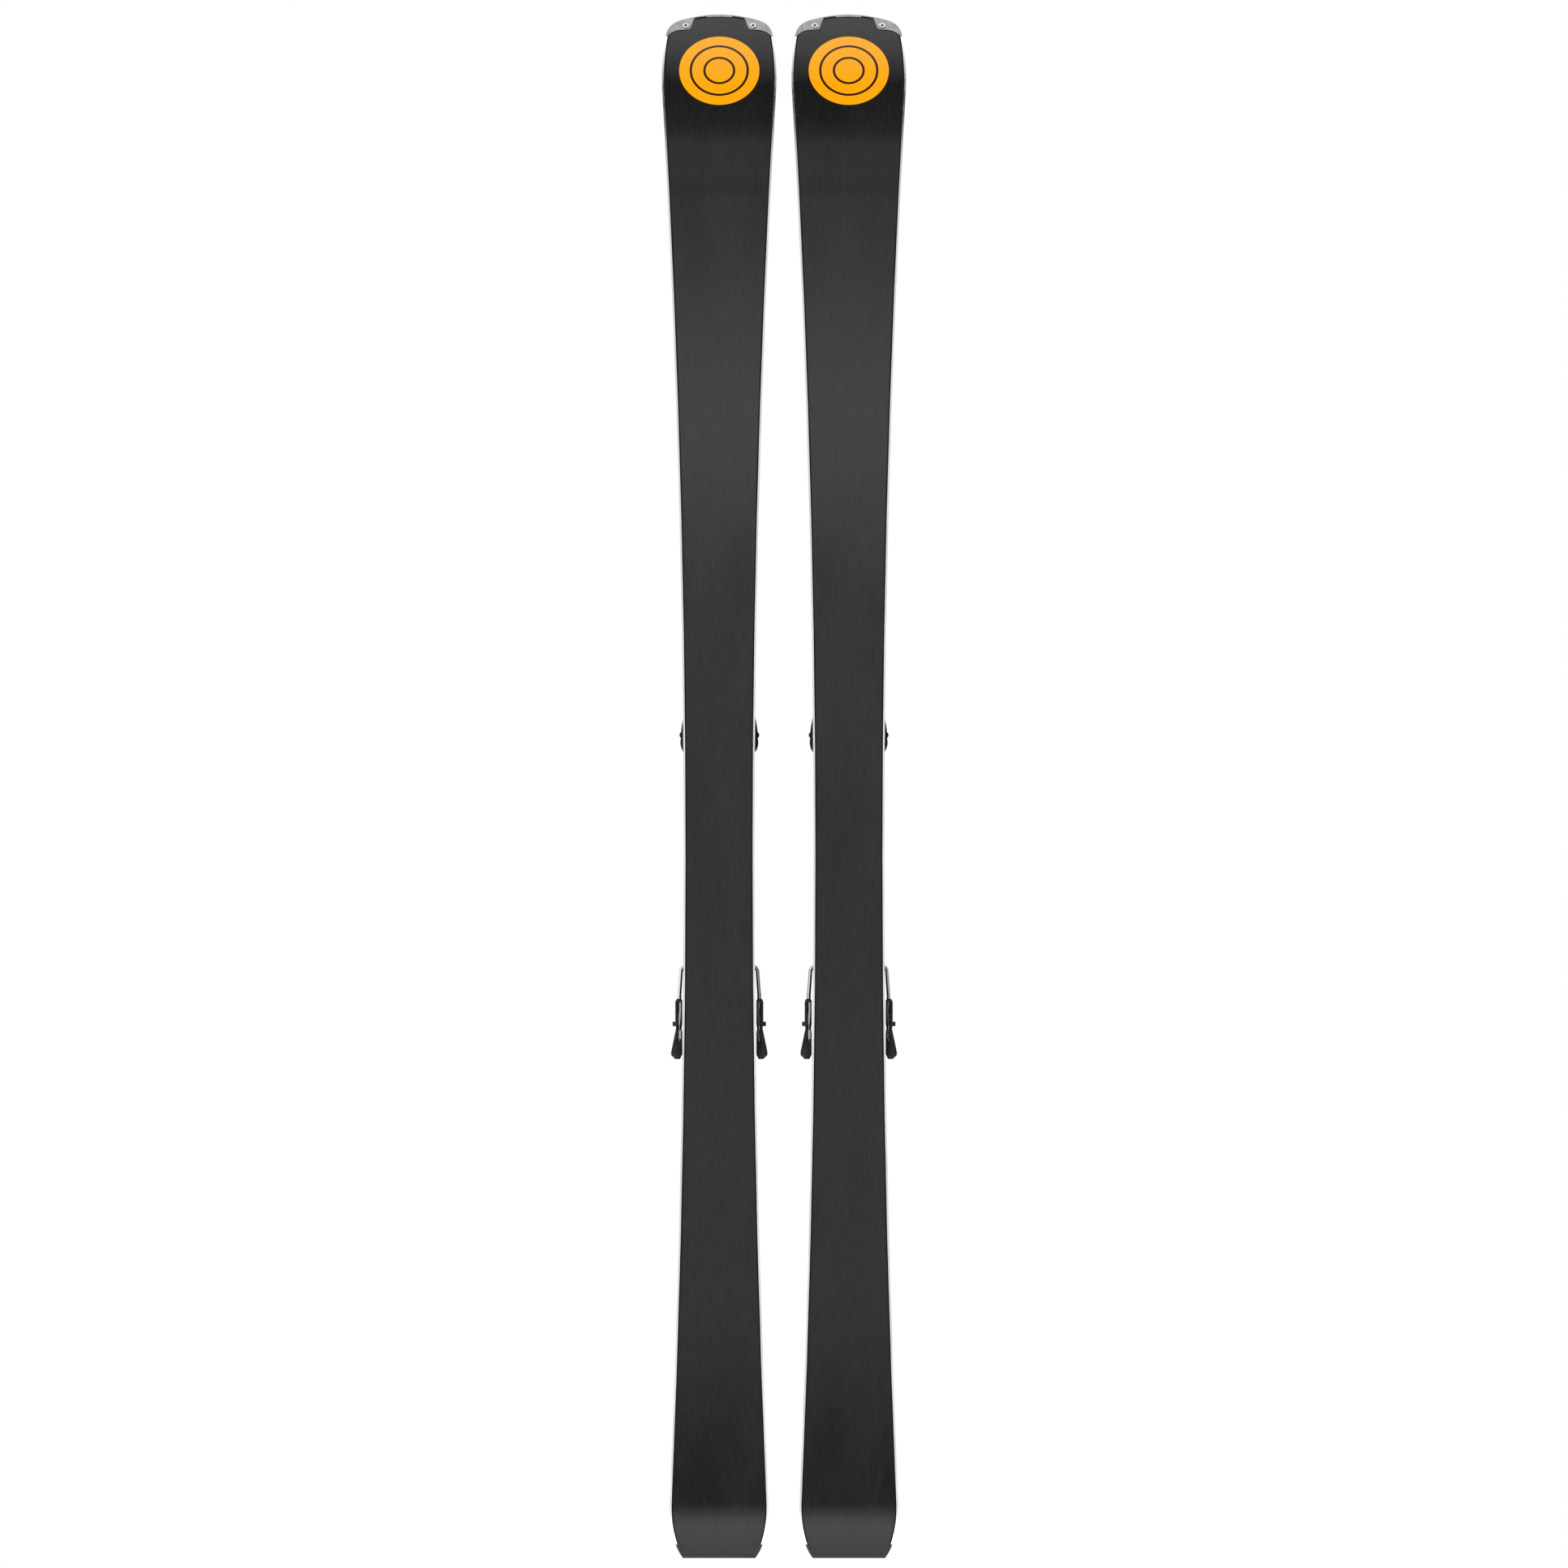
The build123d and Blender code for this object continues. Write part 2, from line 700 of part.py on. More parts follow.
def release_screw(land_y, height, seat_y, outwards):
    """Inside a part: a release screw along Y, its head on land_y and its spring seat at seat_y."""
    head_bottom = (0, land_y + outwards * slide_clearance, height)
    head_plane = Plane(head_bottom, x_dir=(1, 0, 0), z_dir=(0, outwards, 0))
    shank_length = abs(land_y - seat_y) + slide_clearance
    with BuildSketch(head_plane) as head:
        Circle(release_screw_head_radius)
    extrude(head.sketch, amount=release_screw_head_height)
    fillet(edges().group_by(Axis.Y)[-1 if outwards > 0 else 0], release_screw_edge_radius)
    with BuildSketch(head_plane) as shank:
        Circle(release_screw_radius)
    extrude(shank.sketch, amount=-shank_length)
    with BuildSketch(head_plane.offset(-shank_length)) as seat:
        Circle(spring_bore_radius - 3 * slide_clearance)
    extrude(seat.sketch, amount=-spring_seat_height)
    with BuildSketch(head_plane.offset(release_screw_head_height)) as slot:
        Rectangle(2 * release_screw_head_radius, release_screw_slot_width)
    extrude(slot.sketch, amount=-release_screw_slot_depth, mode=Mode.SUBTRACT)


def bore_along_y(from_y, to_y, height, radius):
    """Inside a part: a round hole along Y on the ski's centre plane."""
    with BuildSketch(Plane.XZ.offset(-max(from_y, to_y))) as mouth:
        with Locations((0, height)):
            Circle(radius)
    extrude(mouth.sketch, amount=abs(from_y - to_y), mode=Mode.SUBTRACT)


# ================================================================ toe piece
wing_pin_points = [(-wing_pin_x, wing_pin_y), (wing_pin_x, wing_pin_y)]
wing_roof = wing_top + swing_clearance
screw_bore_radius = release_screw_radius + running_clearance
screw_recess_radius = release_screw_head_radius + toe_screw_recess

with BuildPart() as toe_base:
    rail_shoe(toe_base_rear_y, toe_base_front_y, toe_base_top)
    fillet(outer_corners(), shoe_corner_radius)
    with BuildSketch(Plane.XY.offset(toe_base_top)):
        with Locations((0, toe_pad_key_y)):
            Rectangle(2 * shoe_half_width + overrun, toe_pad_key_width + 2 * slide_clearance)
    extrude(amount=-toe_pad_key_depth - slide_clearance, mode=Mode.SUBTRACT)
    with BuildSketch(Plane.XY.offset(toe_base_top)):
        with Locations(*wing_pin_points):
            Circle(wing_pin_radius + fixed_clearance)
    extrude(amount=-wing_pin_foot, mode=Mode.SUBTRACT)

with BuildPart() as toe_pad:
    toe_pad_y = (toe_pad_front_y + toe_pad_rear_y) / 2
    with BuildSketch(Plane.XY.offset(toe_base_top + slide_clearance)):
        with Locations((0, toe_pad_y)):
            RectangleRounded(
                2 * toe_pad_half_width, toe_pad_front_y - toe_pad_rear_y, toe_pad_corner_radius
            )
    extrude(amount=toe_stand_height - toe_base_top - slide_clearance)
    chamfer(edges().group_by(Axis.Z)[-1], toe_pad_edge)
    with BuildSketch(Plane.XY.offset(toe_base_top + slide_clearance)):
        with Locations((0, toe_pad_key_y)):
            Rectangle(2 * toe_pad_key_half_length, toe_pad_key_width)
    extrude(amount=-toe_pad_key_depth - slide_clearance)

boot_toe_center = (0, boot_toe_y - boot_toe_radius)
wing_face_radius = boot_toe_radius + boot_clearance
wing_knob_x = wing_knob_reach - wing_knob_radius
knob_bottom = (wing_bottom + wing_top - wing_lip_height - wing_knob_height) / 2


def on_boot_toe(x, radius):
    """Point at x on a circle round the middle of the boot's toe."""
    return (x, boot_toe_center[1] + sqrt(radius**2 - x**2))


with BuildPart() as right_wing:
    with BuildSketch(Plane.XY.offset(wing_bottom)):
        with BuildLine():
            inset_x = wing_outer_x - wing_side_inset
            shoulder = (wing_pin_x, wing_pin_y + wing_boss_radius)
            crest = (wing_pin_x + wing_shoulder_bulge[0], wing_pin_y + wing_shoulder_bulge[1])
            hip = (inset_x, wing_pin_y - wing_hip_drop)
            hip_middle = (wing_outer_x - wing_hip_bulge[0], wing_knob_y + wing_hip_bulge[1])
            side = (wing_outer_x, wing_knob_y - wing_side_drop)
            tip_middle = (wing_outer_x - wing_tip_bulge[0], wing_tip_y + wing_tip_bulge[1])
            tip = (inset_x, wing_tip_y)
            inner_tip = on_boot_toe(wing_grip_end_x, wing_face_radius)
            inner_end = on_boot_toe(wing_grip_start_x, wing_face_radius)
            boss_side = (
                wing_pin_x - wing_web[0] * wing_boss_radius,
                wing_pin_y - wing_web[1] * wing_boss_radius,
            )
            ThreePointArc(shoulder, crest, hip)
            ThreePointArc(hip, hip_middle, side)
            ThreePointArc(side, tip_middle, tip)
            Line(tip, inner_tip)
            RadiusArc(inner_tip, inner_end, -wing_face_radius)
            Line(inner_end, boss_side)
            Line(boss_side, shoulder)
        make_face()
    extrude(amount=wing_top - wing_bottom)
    with BuildSketch(Plane.XY.offset(wing_top - wing_lip_height - wing_lip_drop)):
        with Locations(boot_toe_center):
            Circle(wing_face_radius + wing_lip_drop)
            Circle(wing_face_radius - wing_lip_reach, mode=Mode.SUBTRACT)
        with Locations(((wing_grip_start_x + wing_grip_end_x) / 2, wing_tip_y + wing_lip_length / 2)):
            Rectangle(wing_grip_end_x - wing_grip_start_x, wing_lip_length, mode=Mode.INTERSECT)
    extrude(amount=wing_lip_height)
    with BuildSketch(Plane.XY.offset(toe_base_top + swing_clearance)):
        with Locations((wing_pin_x, wing_pin_y)):
            Circle(wing_boss_radius)
    extrude(amount=wing_top - toe_base_top - swing_clearance)
    with BuildSketch(Plane.XY.offset(knob_bottom)):
        with Locations((wing_knob_x, wing_knob_y)):
            Circle(wing_knob_radius)
    extrude(amount=wing_knob_height)
    with Locations((wing_pin_x, wing_pin_y, wing_top)):
        Hole(wing_pin_radius + running_clearance, depth=2 * wing_top)

with BuildPart() as left_wing:
    add(mirror(right_wing.part, about=Plane.YZ, mode=Mode.PRIVATE))

with BuildPart() as wing_pins:
    with BuildSketch(Plane.XY.offset(toe_base_top - wing_pin_foot)):
        with Locations(*wing_pin_points):
            Circle(wing_pin_radius)
    extrude(amount=wing_roof + wing_pin_head - toe_base_top + wing_pin_foot)

with BuildPart() as toe_housing:
    with BuildSketch(Plane.YZ):
        with BuildLine():
            rear_bottom = (toe_housing_rear_y, wing_roof)
            rear_top = (toe_housing_rear_y, wing_roof + toe_housing_lip)
            crown_middle = (toe_housing_rear_y + toe_crown_bulge[0], toe_housing_top - toe_crown_bulge[1])
            crown_rear = (toe_housing_rear_y + toe_crown_run, toe_housing_top)
            crown_front = (toe_housing_front_y - toe_slope_run, toe_housing_top)
            slope_middle = (toe_housing_front_y - toe_slope_bulge[0], toe_housing_top - toe_slope_bulge[1])
            brow = (toe_housing_front_y - toe_brow[0], toe_bore_height + toe_brow[1])
            front_bottom = (toe_housing_front_y, toe_base_top)
            wall_bottom = (toe_housing_wall_y, toe_base_top)
            Polyline(front_bottom, wall_bottom, (toe_housing_wall_y, wing_roof), rear_bottom, rear_top)
            ThreePointArc(rear_top, crown_middle, crown_rear)
            Line(crown_rear, crown_front)
            ThreePointArc(crown_front, slope_middle, brow)
            Polyline(brow, (toe_housing_front_y, toe_base_top + toe_plinth), front_bottom)
        make_face()
    extrude(amount=toe_housing_half_width, both=True)
    fillet(edges().filter_by(Axis.Z).group_by(Axis.Y)[-1], toe_housing_nose_radius)
    upper_edges = [edge for edge in edges() if edge.center().Z > wing_roof + 1]
    side_edges = [edge for edge in upper_edges if abs(edge.center().X) > toe_housing_half_width - 0.6]
    fillet(side_edges, toe_housing_edge_radius)
    bore_along_y(toe_bore_y, toe_bore_end_y, toe_bore_height, spring_bore_radius)
    bore_along_y(toe_bore_y, toe_housing_wall_y, toe_bore_height, piston_rod_radius + running_clearance)
    bore_along_y(toe_bore_end_y, toe_housing_front_y, toe_bore_height, screw_bore_radius)
    bore_along_y(toe_screw_land_y, toe_housing_front_y, toe_bore_height, screw_recess_radius)
    with BuildSketch(Plane.XY.offset(wing_roof)):
        with Locations(*wing_pin_points):
            Circle(wing_pin_radius + fixed_clearance)
    extrude(amount=wing_pin_head, mode=Mode.SUBTRACT)

toe_piston_y = toe_bore_y + slide_clearance
toe_seat_y = toe_bore_end_y - slide_clearance

with BuildPart() as toe_piston:
    with BuildSketch(Plane.XZ.offset(-toe_piston_y - spring_seat_height)):
        with Locations((0, toe_bore_height)):
            Circle(spring_bore_radius - 3 * slide_clearance)
    extrude(amount=spring_seat_height)
    with BuildSketch(Plane.XZ.offset(-toe_piston_y)):
        with Locations((0, toe_bore_height)):
            Circle(piston_rod_radius)
    extrude(amount=piston_rod_length)
    with Locations((0, toe_piston_y - piston_rod_length, toe_bore_height)):
        Box(2 * toe_piston_half_width, spring_seat_height, toe_piston_height)

with BuildPart() as toe_release_screw:
    release_screw(toe_screw_land_y, toe_bore_height, toe_seat_y, 1)


def coil_spring(start_y, end_y, height, coil_radius, wire_radius, turns):
    """Inside a part: a coil spring along Y, between two seats."""
    length = abs(end_y - start_y) - 2 * wire_radius
    with BuildLine() as coil:
        Helix(
            pitch=length / turns,
            height=length,
            radius=coil_radius,
            center=(0, min(start_y, end_y) + wire_radius, height),
            direction=(0, 1, 0),
        )
    with BuildSketch(Plane(coil.line @ 0, z_dir=coil.line % 0)) as wire:
        Circle(wire_radius)
    sweep(wire.sketch, path=coil.line)


spring_gap = 0.3

with BuildPart() as toe_spring:
    coil_spring(
        toe_piston_y + spring_seat_height,
        toe_seat_y - spring_seat_height - spring_gap,
        toe_bore_height,
        toe_spring_coil_radius,
        toe_spring_wire_radius,
        toe_spring_turns,
    )

# ================================================================ heel piece
heel_ear_x = heel_housing_half_width + swing_clearance + heel_ear_thickness / 2
brake_bearing_x = (brake_bearing_inner_x + brake_bearing_outer_x) / 2

with BuildPart() as heel_carriage:
    rail_shoe(carriage_rear_y, carriage_front_y, carriage_top)
    fillet(outer_corners(), shoe_corner_radius)
    with BuildSketch(Plane.XY.offset(carriage_top)):
        with Locations((0, (heel_pad_front_y + heel_pad_rear_y) / 2)):
            RectangleRounded(
                2 * heel_housing_half_width, heel_pad_front_y - heel_pad_rear_y, heel_pad_corner_radius
            )
    extrude(amount=heel_stand_height - carriage_top)
    with BuildSketch(Plane.XY.offset(carriage_top)):
        with Locations((-brake_bearing_x, brake_pivot_y), (brake_bearing_x, brake_pivot_y)):
            Rectangle(brake_bearing_outer_x - brake_bearing_inner_x, brake_bearing_length)
    extrude(amount=brake_bearing_top - carriage_top)
    for side in (-1, 1):
        with BuildSketch(Plane.YZ.offset(side * heel_ear_x - heel_ear_thickness / 2)):
            with Locations((heel_pivot_y, carriage_top)):
                ear_height = heel_pivot_height - carriage_top
                Rectangle(heel_ear_length, ear_height, align=(Align.CENTER, Align.MIN))
            with Locations((heel_pivot_y, heel_pivot_height)):
                Circle(heel_ear_top - heel_pivot_height)
        extrude(amount=heel_ear_thickness)
    with BuildSketch(Plane.YZ):
        with Locations((heel_pivot_y, heel_pivot_height)):
            Circle(heel_pin_radius + fixed_clearance)
        with Locations((brake_pivot_y, brake_pivot_height)):
            Circle(brake_wire_radius + running_clearance)
    extrude(amount=2 * shoe_half_width, both=True, mode=Mode.SUBTRACT)

with BuildPart() as heel_pivot_pin:
    with BuildSketch(Plane.YZ):
        with Locations((heel_pivot_y, heel_pivot_height)):
            Circle(heel_pin_radius)
    extrude(amount=heel_ear_x + heel_ear_thickness / 2, both=True)

heel_center_y = boot_heel_y + heel_cup_inner_radius - boot_clearance / 2
heel_cup_outer_radius = heel_cup_inner_radius + heel_cup_wall
heel_front_y = heel_center_y - heel_cup_outer_radius * cos(radians(40))

with BuildPart() as heel_housing:
    with BuildSketch(Plane.YZ):
        with BuildLine():
            chin = (heel_front_y, heel_cup_bottom - heel_chin)
            belly = [(heel_pivot_y + y, heel_pivot_height + z) for y, z in heel_belly]
            back_bottom = (heel_housing_rear_y, heel_pivot_height + heel_back_height)
            back_top = (heel_housing_rear_y, heel_bore_height + heel_back_top)
            crown_middle = (heel_housing_rear_y + heel_crown_bulge[0], heel_housing_top - heel_crown_bulge[1])
            rear_shoulder = (heel_housing_rear_y + heel_crown_run, heel_housing_top)
            front_shoulder = (heel_front_y - heel_brow[0], heel_housing_top)
            brow = (heel_front_y, heel_housing_top - heel_brow[1])
            throat = (heel_front_y - heel_belly_run, heel_pivot_height - heel_throat_drop)
            Polyline(chin, throat, *belly, back_bottom, back_top)
            ThreePointArc(back_top, crown_middle, rear_shoulder)
            Polyline(rear_shoulder, front_shoulder, brow, chin)
        make_face()
    extrude(amount=heel_housing_half_width, both=True)
    fillet(edges().group_by(Axis.Z)[-1].filter_by(Axis.Y), heel_housing_edge_radius)
    with BuildSketch():
        with Locations((0, heel_center_y)):
            Circle(heel_cup_outer_radius + fixed_clearance)
    extrude(amount=2 * heel_housing_top, mode=Mode.SUBTRACT)
    bore_along_y(heel_bore_front_y, heel_bore_rear_y, heel_bore_height, spring_bore_radius)
    bore_along_y(heel_bore_rear_y, heel_housing_rear_y, heel_bore_height, screw_bore_radius)
    with BuildSketch(Plane.YZ):
        with Locations((heel_pivot_y, heel_pivot_height)):
            Circle(heel_pin_radius + running_clearance)
    extrude(amount=2 * heel_housing_half_width, both=True, mode=Mode.SUBTRACT)
    for side in (-1, 1):
        with BuildSketch(Plane.YZ.offset(side * heel_housing_half_width)):
            with Locations((lever_pivot_y, lever_pivot_height)):
                Circle(lever_pin_radius + running_clearance)
        extrude(amount=-side * (lever_pin_length + swing_clearance), mode=Mode.SUBTRACT)

lip_bottom = heel_stand_height + boot_heel_sole + boot_clearance
wedge_x = 2 * heel_cup_outer_radius * sin(radians(heel_cup_angle))
wedge_y = 2 * heel_cup_outer_radius * cos(radians(heel_cup_angle))
with BuildSketch() as cup_wedge:
    with Locations((0, heel_center_y)):
        Polygon(
            (0, 0),
            (-wedge_x, -wedge_y),
            (-wedge_x, -3 * heel_cup_outer_radius),
            (wedge_x, -3 * heel_cup_outer_radius),
            (wedge_x, -wedge_y),
            align=None,
        )

with BuildPart() as heel_cup:
    with BuildSketch(Plane.XY.offset(heel_cup_bottom)):
        with Locations((0, heel_center_y)):
            Circle(heel_cup_outer_radius)
            Circle(heel_cup_inner_radius, mode=Mode.SUBTRACT)
        add(cup_wedge.sketch, mode=Mode.INTERSECT)
    extrude(amount=lip_bottom + heel_cup_lip_height - heel_cup_bottom)
    with BuildSketch(Plane.XY.offset(lip_bottom)):
        with Locations((0, heel_center_y)):
            Circle(heel_cup_outer_radius)
            Circle(heel_cup_inner_radius - heel_cup_lip, mode=Mode.SUBTRACT)
        add(cup_wedge.sketch, mode=Mode.INTERSECT)
    extrude(amount=heel_cup_lip_height)

with BuildPart() as heel_release_screw:
    release_screw(heel_housing_rear_y, heel_bore_height, heel_bore_rear_y + slide_clearance, -1)

with BuildPart() as heel_spring:
    coil_spring(
        heel_bore_rear_y + slide_clearance + spring_seat_height + spring_gap,
        heel_bore_front_y,
        heel_bore_height,
        heel_spring_coil_radius,
        heel_spring_wire_radius,
        heel_spring_turns,
    )

lever_cheek_x = heel_housing_half_width + swing_clearance
lever_half_width = lever_cheek_x + lever_cheek_thickness
cheek_height = lever_bottom + 1 - lever_pivot_height

with BuildPart() as heel_lever:
    with BuildSketch(Plane.XY.offset(lever_bottom)):
        with Locations((0, (lever_front_y + lever_rear_y) / 2)):
            RectangleRounded(2 * lever_half_width, lever_front_y - lever_rear_y, lever_corner_radius)
    extrude(amount=lever_thickness)
    fillet(edges().group_by(Axis.Z)[-1], lever_edge_radius)
    for side in (-1, 1):
        inner_x = lever_cheek_x if side > 0 else -lever_half_width
        with BuildSketch(Plane.YZ.offset(inner_x)):
            with Locations((lever_pivot_y, lever_pivot_height)):
                Circle(lever_boss_radius)
                Rectangle(2 * lever_boss_radius, cheek_height, align=(Align.CENTER, Align.MIN))
        extrude(amount=lever_cheek_thickness)
        with BuildSketch(Plane.YZ.offset(side * (lever_cheek_x + 1))):
            with Locations((lever_pivot_y, lever_pivot_height)):
                Circle(lever_pin_radius)
        extrude(amount=-side * (lever_pin_length + swing_clearance + 1))
    with Locations((0, lever_dimple_y, lever_bottom + lever_thickness)):
        Hole(lever_dimple_radius, depth=lever_dimple_depth)

# ================================================================ ski brake
with BuildPart() as brake_wire:
    with BuildLine(Plane.XY.offset(brake_pivot_height)) as wire_line:
        FilletPolyline(
            (brake_pedal_x, brake_pedal_rear_y + brake_pedal_socket - 1),
            (brake_pedal_x, brake_pivot_y),
            (brake_arm_x - brake_arm_lead, brake_pivot_y),
            (brake_arm_x, brake_shoe_front_y + brake_arm_straight),
            (brake_arm_x, brake_wire_end_y),
            radius=[brake_wire_bend, brake_wire_bend, brake_arm_easing],
        )
    with BuildSketch(Plane(wire_line.line @ 0, z_dir=wire_line.line % 0)):
        Circle(brake_wire_radius)
    sweep()

with BuildPart() as brake_wires:
    add(brake_wire.part)
    mirror(about=Plane.YZ)

with BuildPart() as brake_pedal:
    with BuildSketch(Plane.XY.offset(brake_pedal_bottom)):
        with Locations((0, (brake_pedal_front_y + brake_pedal_rear_y) / 2)):
            RectangleRounded(
                2 * brake_pedal_half_width,
                brake_pedal_front_y - brake_pedal_rear_y,
                brake_pedal_corner_radius,
            )
    extrude(amount=brake_pedal_top - brake_pedal_bottom)
    chamfer(edges().group_by(Axis.Z)[-1], brake_pedal_edge)
    with BuildSketch(Plane.XZ.offset(-brake_pedal_rear_y - brake_pedal_socket)):
        with Locations((-brake_pedal_x, brake_pivot_height), (brake_pedal_x, brake_pivot_height)):
            Circle(brake_wire_radius + fixed_clearance)
    extrude(amount=brake_pedal_socket + overrun, mode=Mode.SUBTRACT)

shoe_bottom = brake_pivot_height - brake_shoe_half_height

with BuildPart() as brake_shoe:
    with BuildSketch(Plane.XY.offset(shoe_bottom)):
        with BuildLine():
            waist_front_y = brake_shoe_waist_y + brake_shoe_waist_run
            waist_rear_y = brake_shoe_waist_y - brake_shoe_waist_run
            Polyline(
                (brake_shoe_inner_x, brake_shoe_front_y - brake_shoe_corner[1]),
                (brake_shoe_inner_x + brake_shoe_corner[0], brake_shoe_front_y),
                (brake_shoe_outer_x - brake_shoe_shoulder[0], brake_shoe_front_y),
                (brake_shoe_outer_x, brake_shoe_front_y - brake_shoe_shoulder[1]),
                (brake_shoe_outer_x, waist_front_y),
                (brake_shoe_outer_x - brake_shoe_waist, brake_shoe_waist_y),
                (brake_shoe_flare_x, brake_shoe_end_y + brake_shoe_flare_end),
                (brake_shoe_flare_x, brake_shoe_end_y + brake_shoe_tip[1]),
                (brake_shoe_flare_x - brake_shoe_tip[0], brake_shoe_end_y),
                (brake_shoe_inner_x + brake_shoe_toe[0], brake_shoe_end_y),
                (brake_shoe_inner_x, brake_shoe_end_y + brake_shoe_toe[1]),
                (brake_shoe_inner_x, waist_rear_y),
                (brake_shoe_inner_x + brake_shoe_waist, brake_shoe_waist_y),
                (brake_shoe_inner_x, waist_front_y),
                close=True,
            )
        make_face()
    extrude(amount=2 * brake_shoe_half_height)
    chamfer(edges().group_by(Axis.Z)[0] + edges().group_by(Axis.Z)[-1], brake_shoe_edge)
    with Locations((brake_shoe_outer_x + brake_nub[0] / 4, brake_nub_y, brake_pivot_height)):
        Box(*brake_nub)
    with BuildSketch(Plane.XZ.offset(-brake_shoe_front_y - overrun)):
        with Locations((brake_arm_x, brake_pivot_height)):
            Circle(brake_wire_radius + fixed_clearance)
    extrude(amount=brake_shoe_front_y + overrun - brake_wire_end_y + fixed_clearance, mode=Mode.SUBTRACT)
    slot_length = brake_shoe_front_y - brake_wire_end_y - 1.5 * brake_slot_margin
    with Locations((brake_arm_x, brake_shoe_front_y - brake_slot_margin, shoe_bottom)):
        Box(
            brake_slot_width,
            slot_length,
            2 * brake_shoe_half_height,
            align=(Align.CENTER, Align.MAX, Align.CENTER),
            mode=Mode.SUBTRACT,
        )

with BuildPart() as brake_shoes:
    add(brake_shoe.part)
    mirror(about=Plane.YZ)

with BuildPart() as metal_laminates:
    add(lower_laminate.part)
    add(upper_laminate.part)

# ================================================================ both skis
pieces = {
    "base_sheet": base_sheet,
    "steel_edges": steel_edges,
    "metal_laminates": metal_laminates,
    "wood_core": wood_core,
    "sidewalls": sidewalls,
    "topsheet": topsheet,
    "tip_guard": tip_guard,
    "tip_guard_screws": tip_guard_screws,
    "tail_guard": tail_guard,
    "binding_rail": binding_rail,
    "rail_screws": rail_screws,
    "toe_base": toe_base,
    "toe_pad": toe_pad,
    "wing_pins": wing_pins,
    "toe_housing": toe_housing,
    "toe_piston": toe_piston,
    "toe_spring": toe_spring,
    "toe_release_screw": toe_release_screw,
    "heel_carriage": heel_carriage,
    "heel_pivot_pin": heel_pivot_pin,
    "heel_housing": heel_housing,
    "heel_cup": heel_cup,
    "heel_spring": heel_spring,
    "heel_release_screw": heel_release_screw,
    "heel_lever": heel_lever,
    "brake_wires": brake_wires,
    "brake_pedal": brake_pedal,
    "brake_shoes": brake_shoes,
}
wings = {
    "left": {"toe_wing_outer": left_wing, "toe_wing_inner": right_wing},
    "right": {"toe_wing_inner": left_wing, "toe_wing_outer": right_wing},
}

os.makedirs("parts", exist_ok=True)
for ski, ski_x in ski_sides.items():
    for name, piece in {**pieces, **wings[ski]}.items():
        placed = Pos(ski_x, 0, 0) * piece.part
        placed.label = f"{ski}_{name}"
        export_step(placed, f"parts/{ski}_{name}.step")
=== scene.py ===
"""Looks of a pair of alpine skis with bindings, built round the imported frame. Lengths are in metres."""

import json
import math

import bmesh
import bpy
from mathutils import Matrix, Vector

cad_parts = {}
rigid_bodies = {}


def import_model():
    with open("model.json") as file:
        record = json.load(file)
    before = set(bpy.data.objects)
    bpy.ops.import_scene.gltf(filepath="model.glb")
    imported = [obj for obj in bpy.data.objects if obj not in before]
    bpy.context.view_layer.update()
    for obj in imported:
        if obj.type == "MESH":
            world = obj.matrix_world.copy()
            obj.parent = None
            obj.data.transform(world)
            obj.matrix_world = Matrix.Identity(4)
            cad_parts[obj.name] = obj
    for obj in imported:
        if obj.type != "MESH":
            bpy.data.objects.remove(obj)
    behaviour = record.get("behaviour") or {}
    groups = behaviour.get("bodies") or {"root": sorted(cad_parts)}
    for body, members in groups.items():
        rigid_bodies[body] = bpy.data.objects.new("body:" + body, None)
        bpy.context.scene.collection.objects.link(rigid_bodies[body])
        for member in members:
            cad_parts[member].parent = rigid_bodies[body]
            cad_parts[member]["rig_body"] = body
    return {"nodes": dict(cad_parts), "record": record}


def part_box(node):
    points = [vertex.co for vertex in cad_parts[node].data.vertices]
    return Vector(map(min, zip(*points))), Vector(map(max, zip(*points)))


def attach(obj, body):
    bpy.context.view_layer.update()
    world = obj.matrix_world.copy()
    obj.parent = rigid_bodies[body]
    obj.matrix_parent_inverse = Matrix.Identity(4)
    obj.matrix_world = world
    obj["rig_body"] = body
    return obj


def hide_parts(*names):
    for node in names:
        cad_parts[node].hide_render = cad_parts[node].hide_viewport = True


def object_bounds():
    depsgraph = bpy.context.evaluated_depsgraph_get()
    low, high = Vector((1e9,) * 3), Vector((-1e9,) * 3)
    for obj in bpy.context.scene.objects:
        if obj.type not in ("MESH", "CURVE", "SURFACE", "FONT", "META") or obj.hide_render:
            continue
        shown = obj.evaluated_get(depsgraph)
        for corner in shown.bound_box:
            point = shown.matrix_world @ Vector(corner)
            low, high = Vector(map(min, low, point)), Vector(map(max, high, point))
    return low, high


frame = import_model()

nodes = frame["nodes"]
cad_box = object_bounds()
sides = ("left", "right")
MM = 0.001


def middle(node):
    """The centre of a CAD node's box."""
    low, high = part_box(node)
    return (low + high) / 2


ski_x = {side: middle(f"{side}_base_sheet").x for side in sides}
tip_y = cad_box[1].y
tail_y = cad_box[0].y

# ---------------------------------------------------------------- camera
camera_distance = 9.66
lens_mm = 200.0

camera = bpy.data.objects.new("camera", bpy.data.cameras.new("camera"))
bpy.context.scene.collection.objects.link(camera)
bpy.context.scene.camera = camera
camera.location = (0, 0, -camera_distance)
camera.rotation_euler = (0, math.pi, 0)
camera.data.lens = lens_mm
camera.data.sensor_width = 36.0
camera.data.clip_end = 200.0
bpy.context.scene.view_settings.view_transform = "Standard"

# ---------------------------------------------------------------- studio
room_level = 0.72  # the plain light from all round
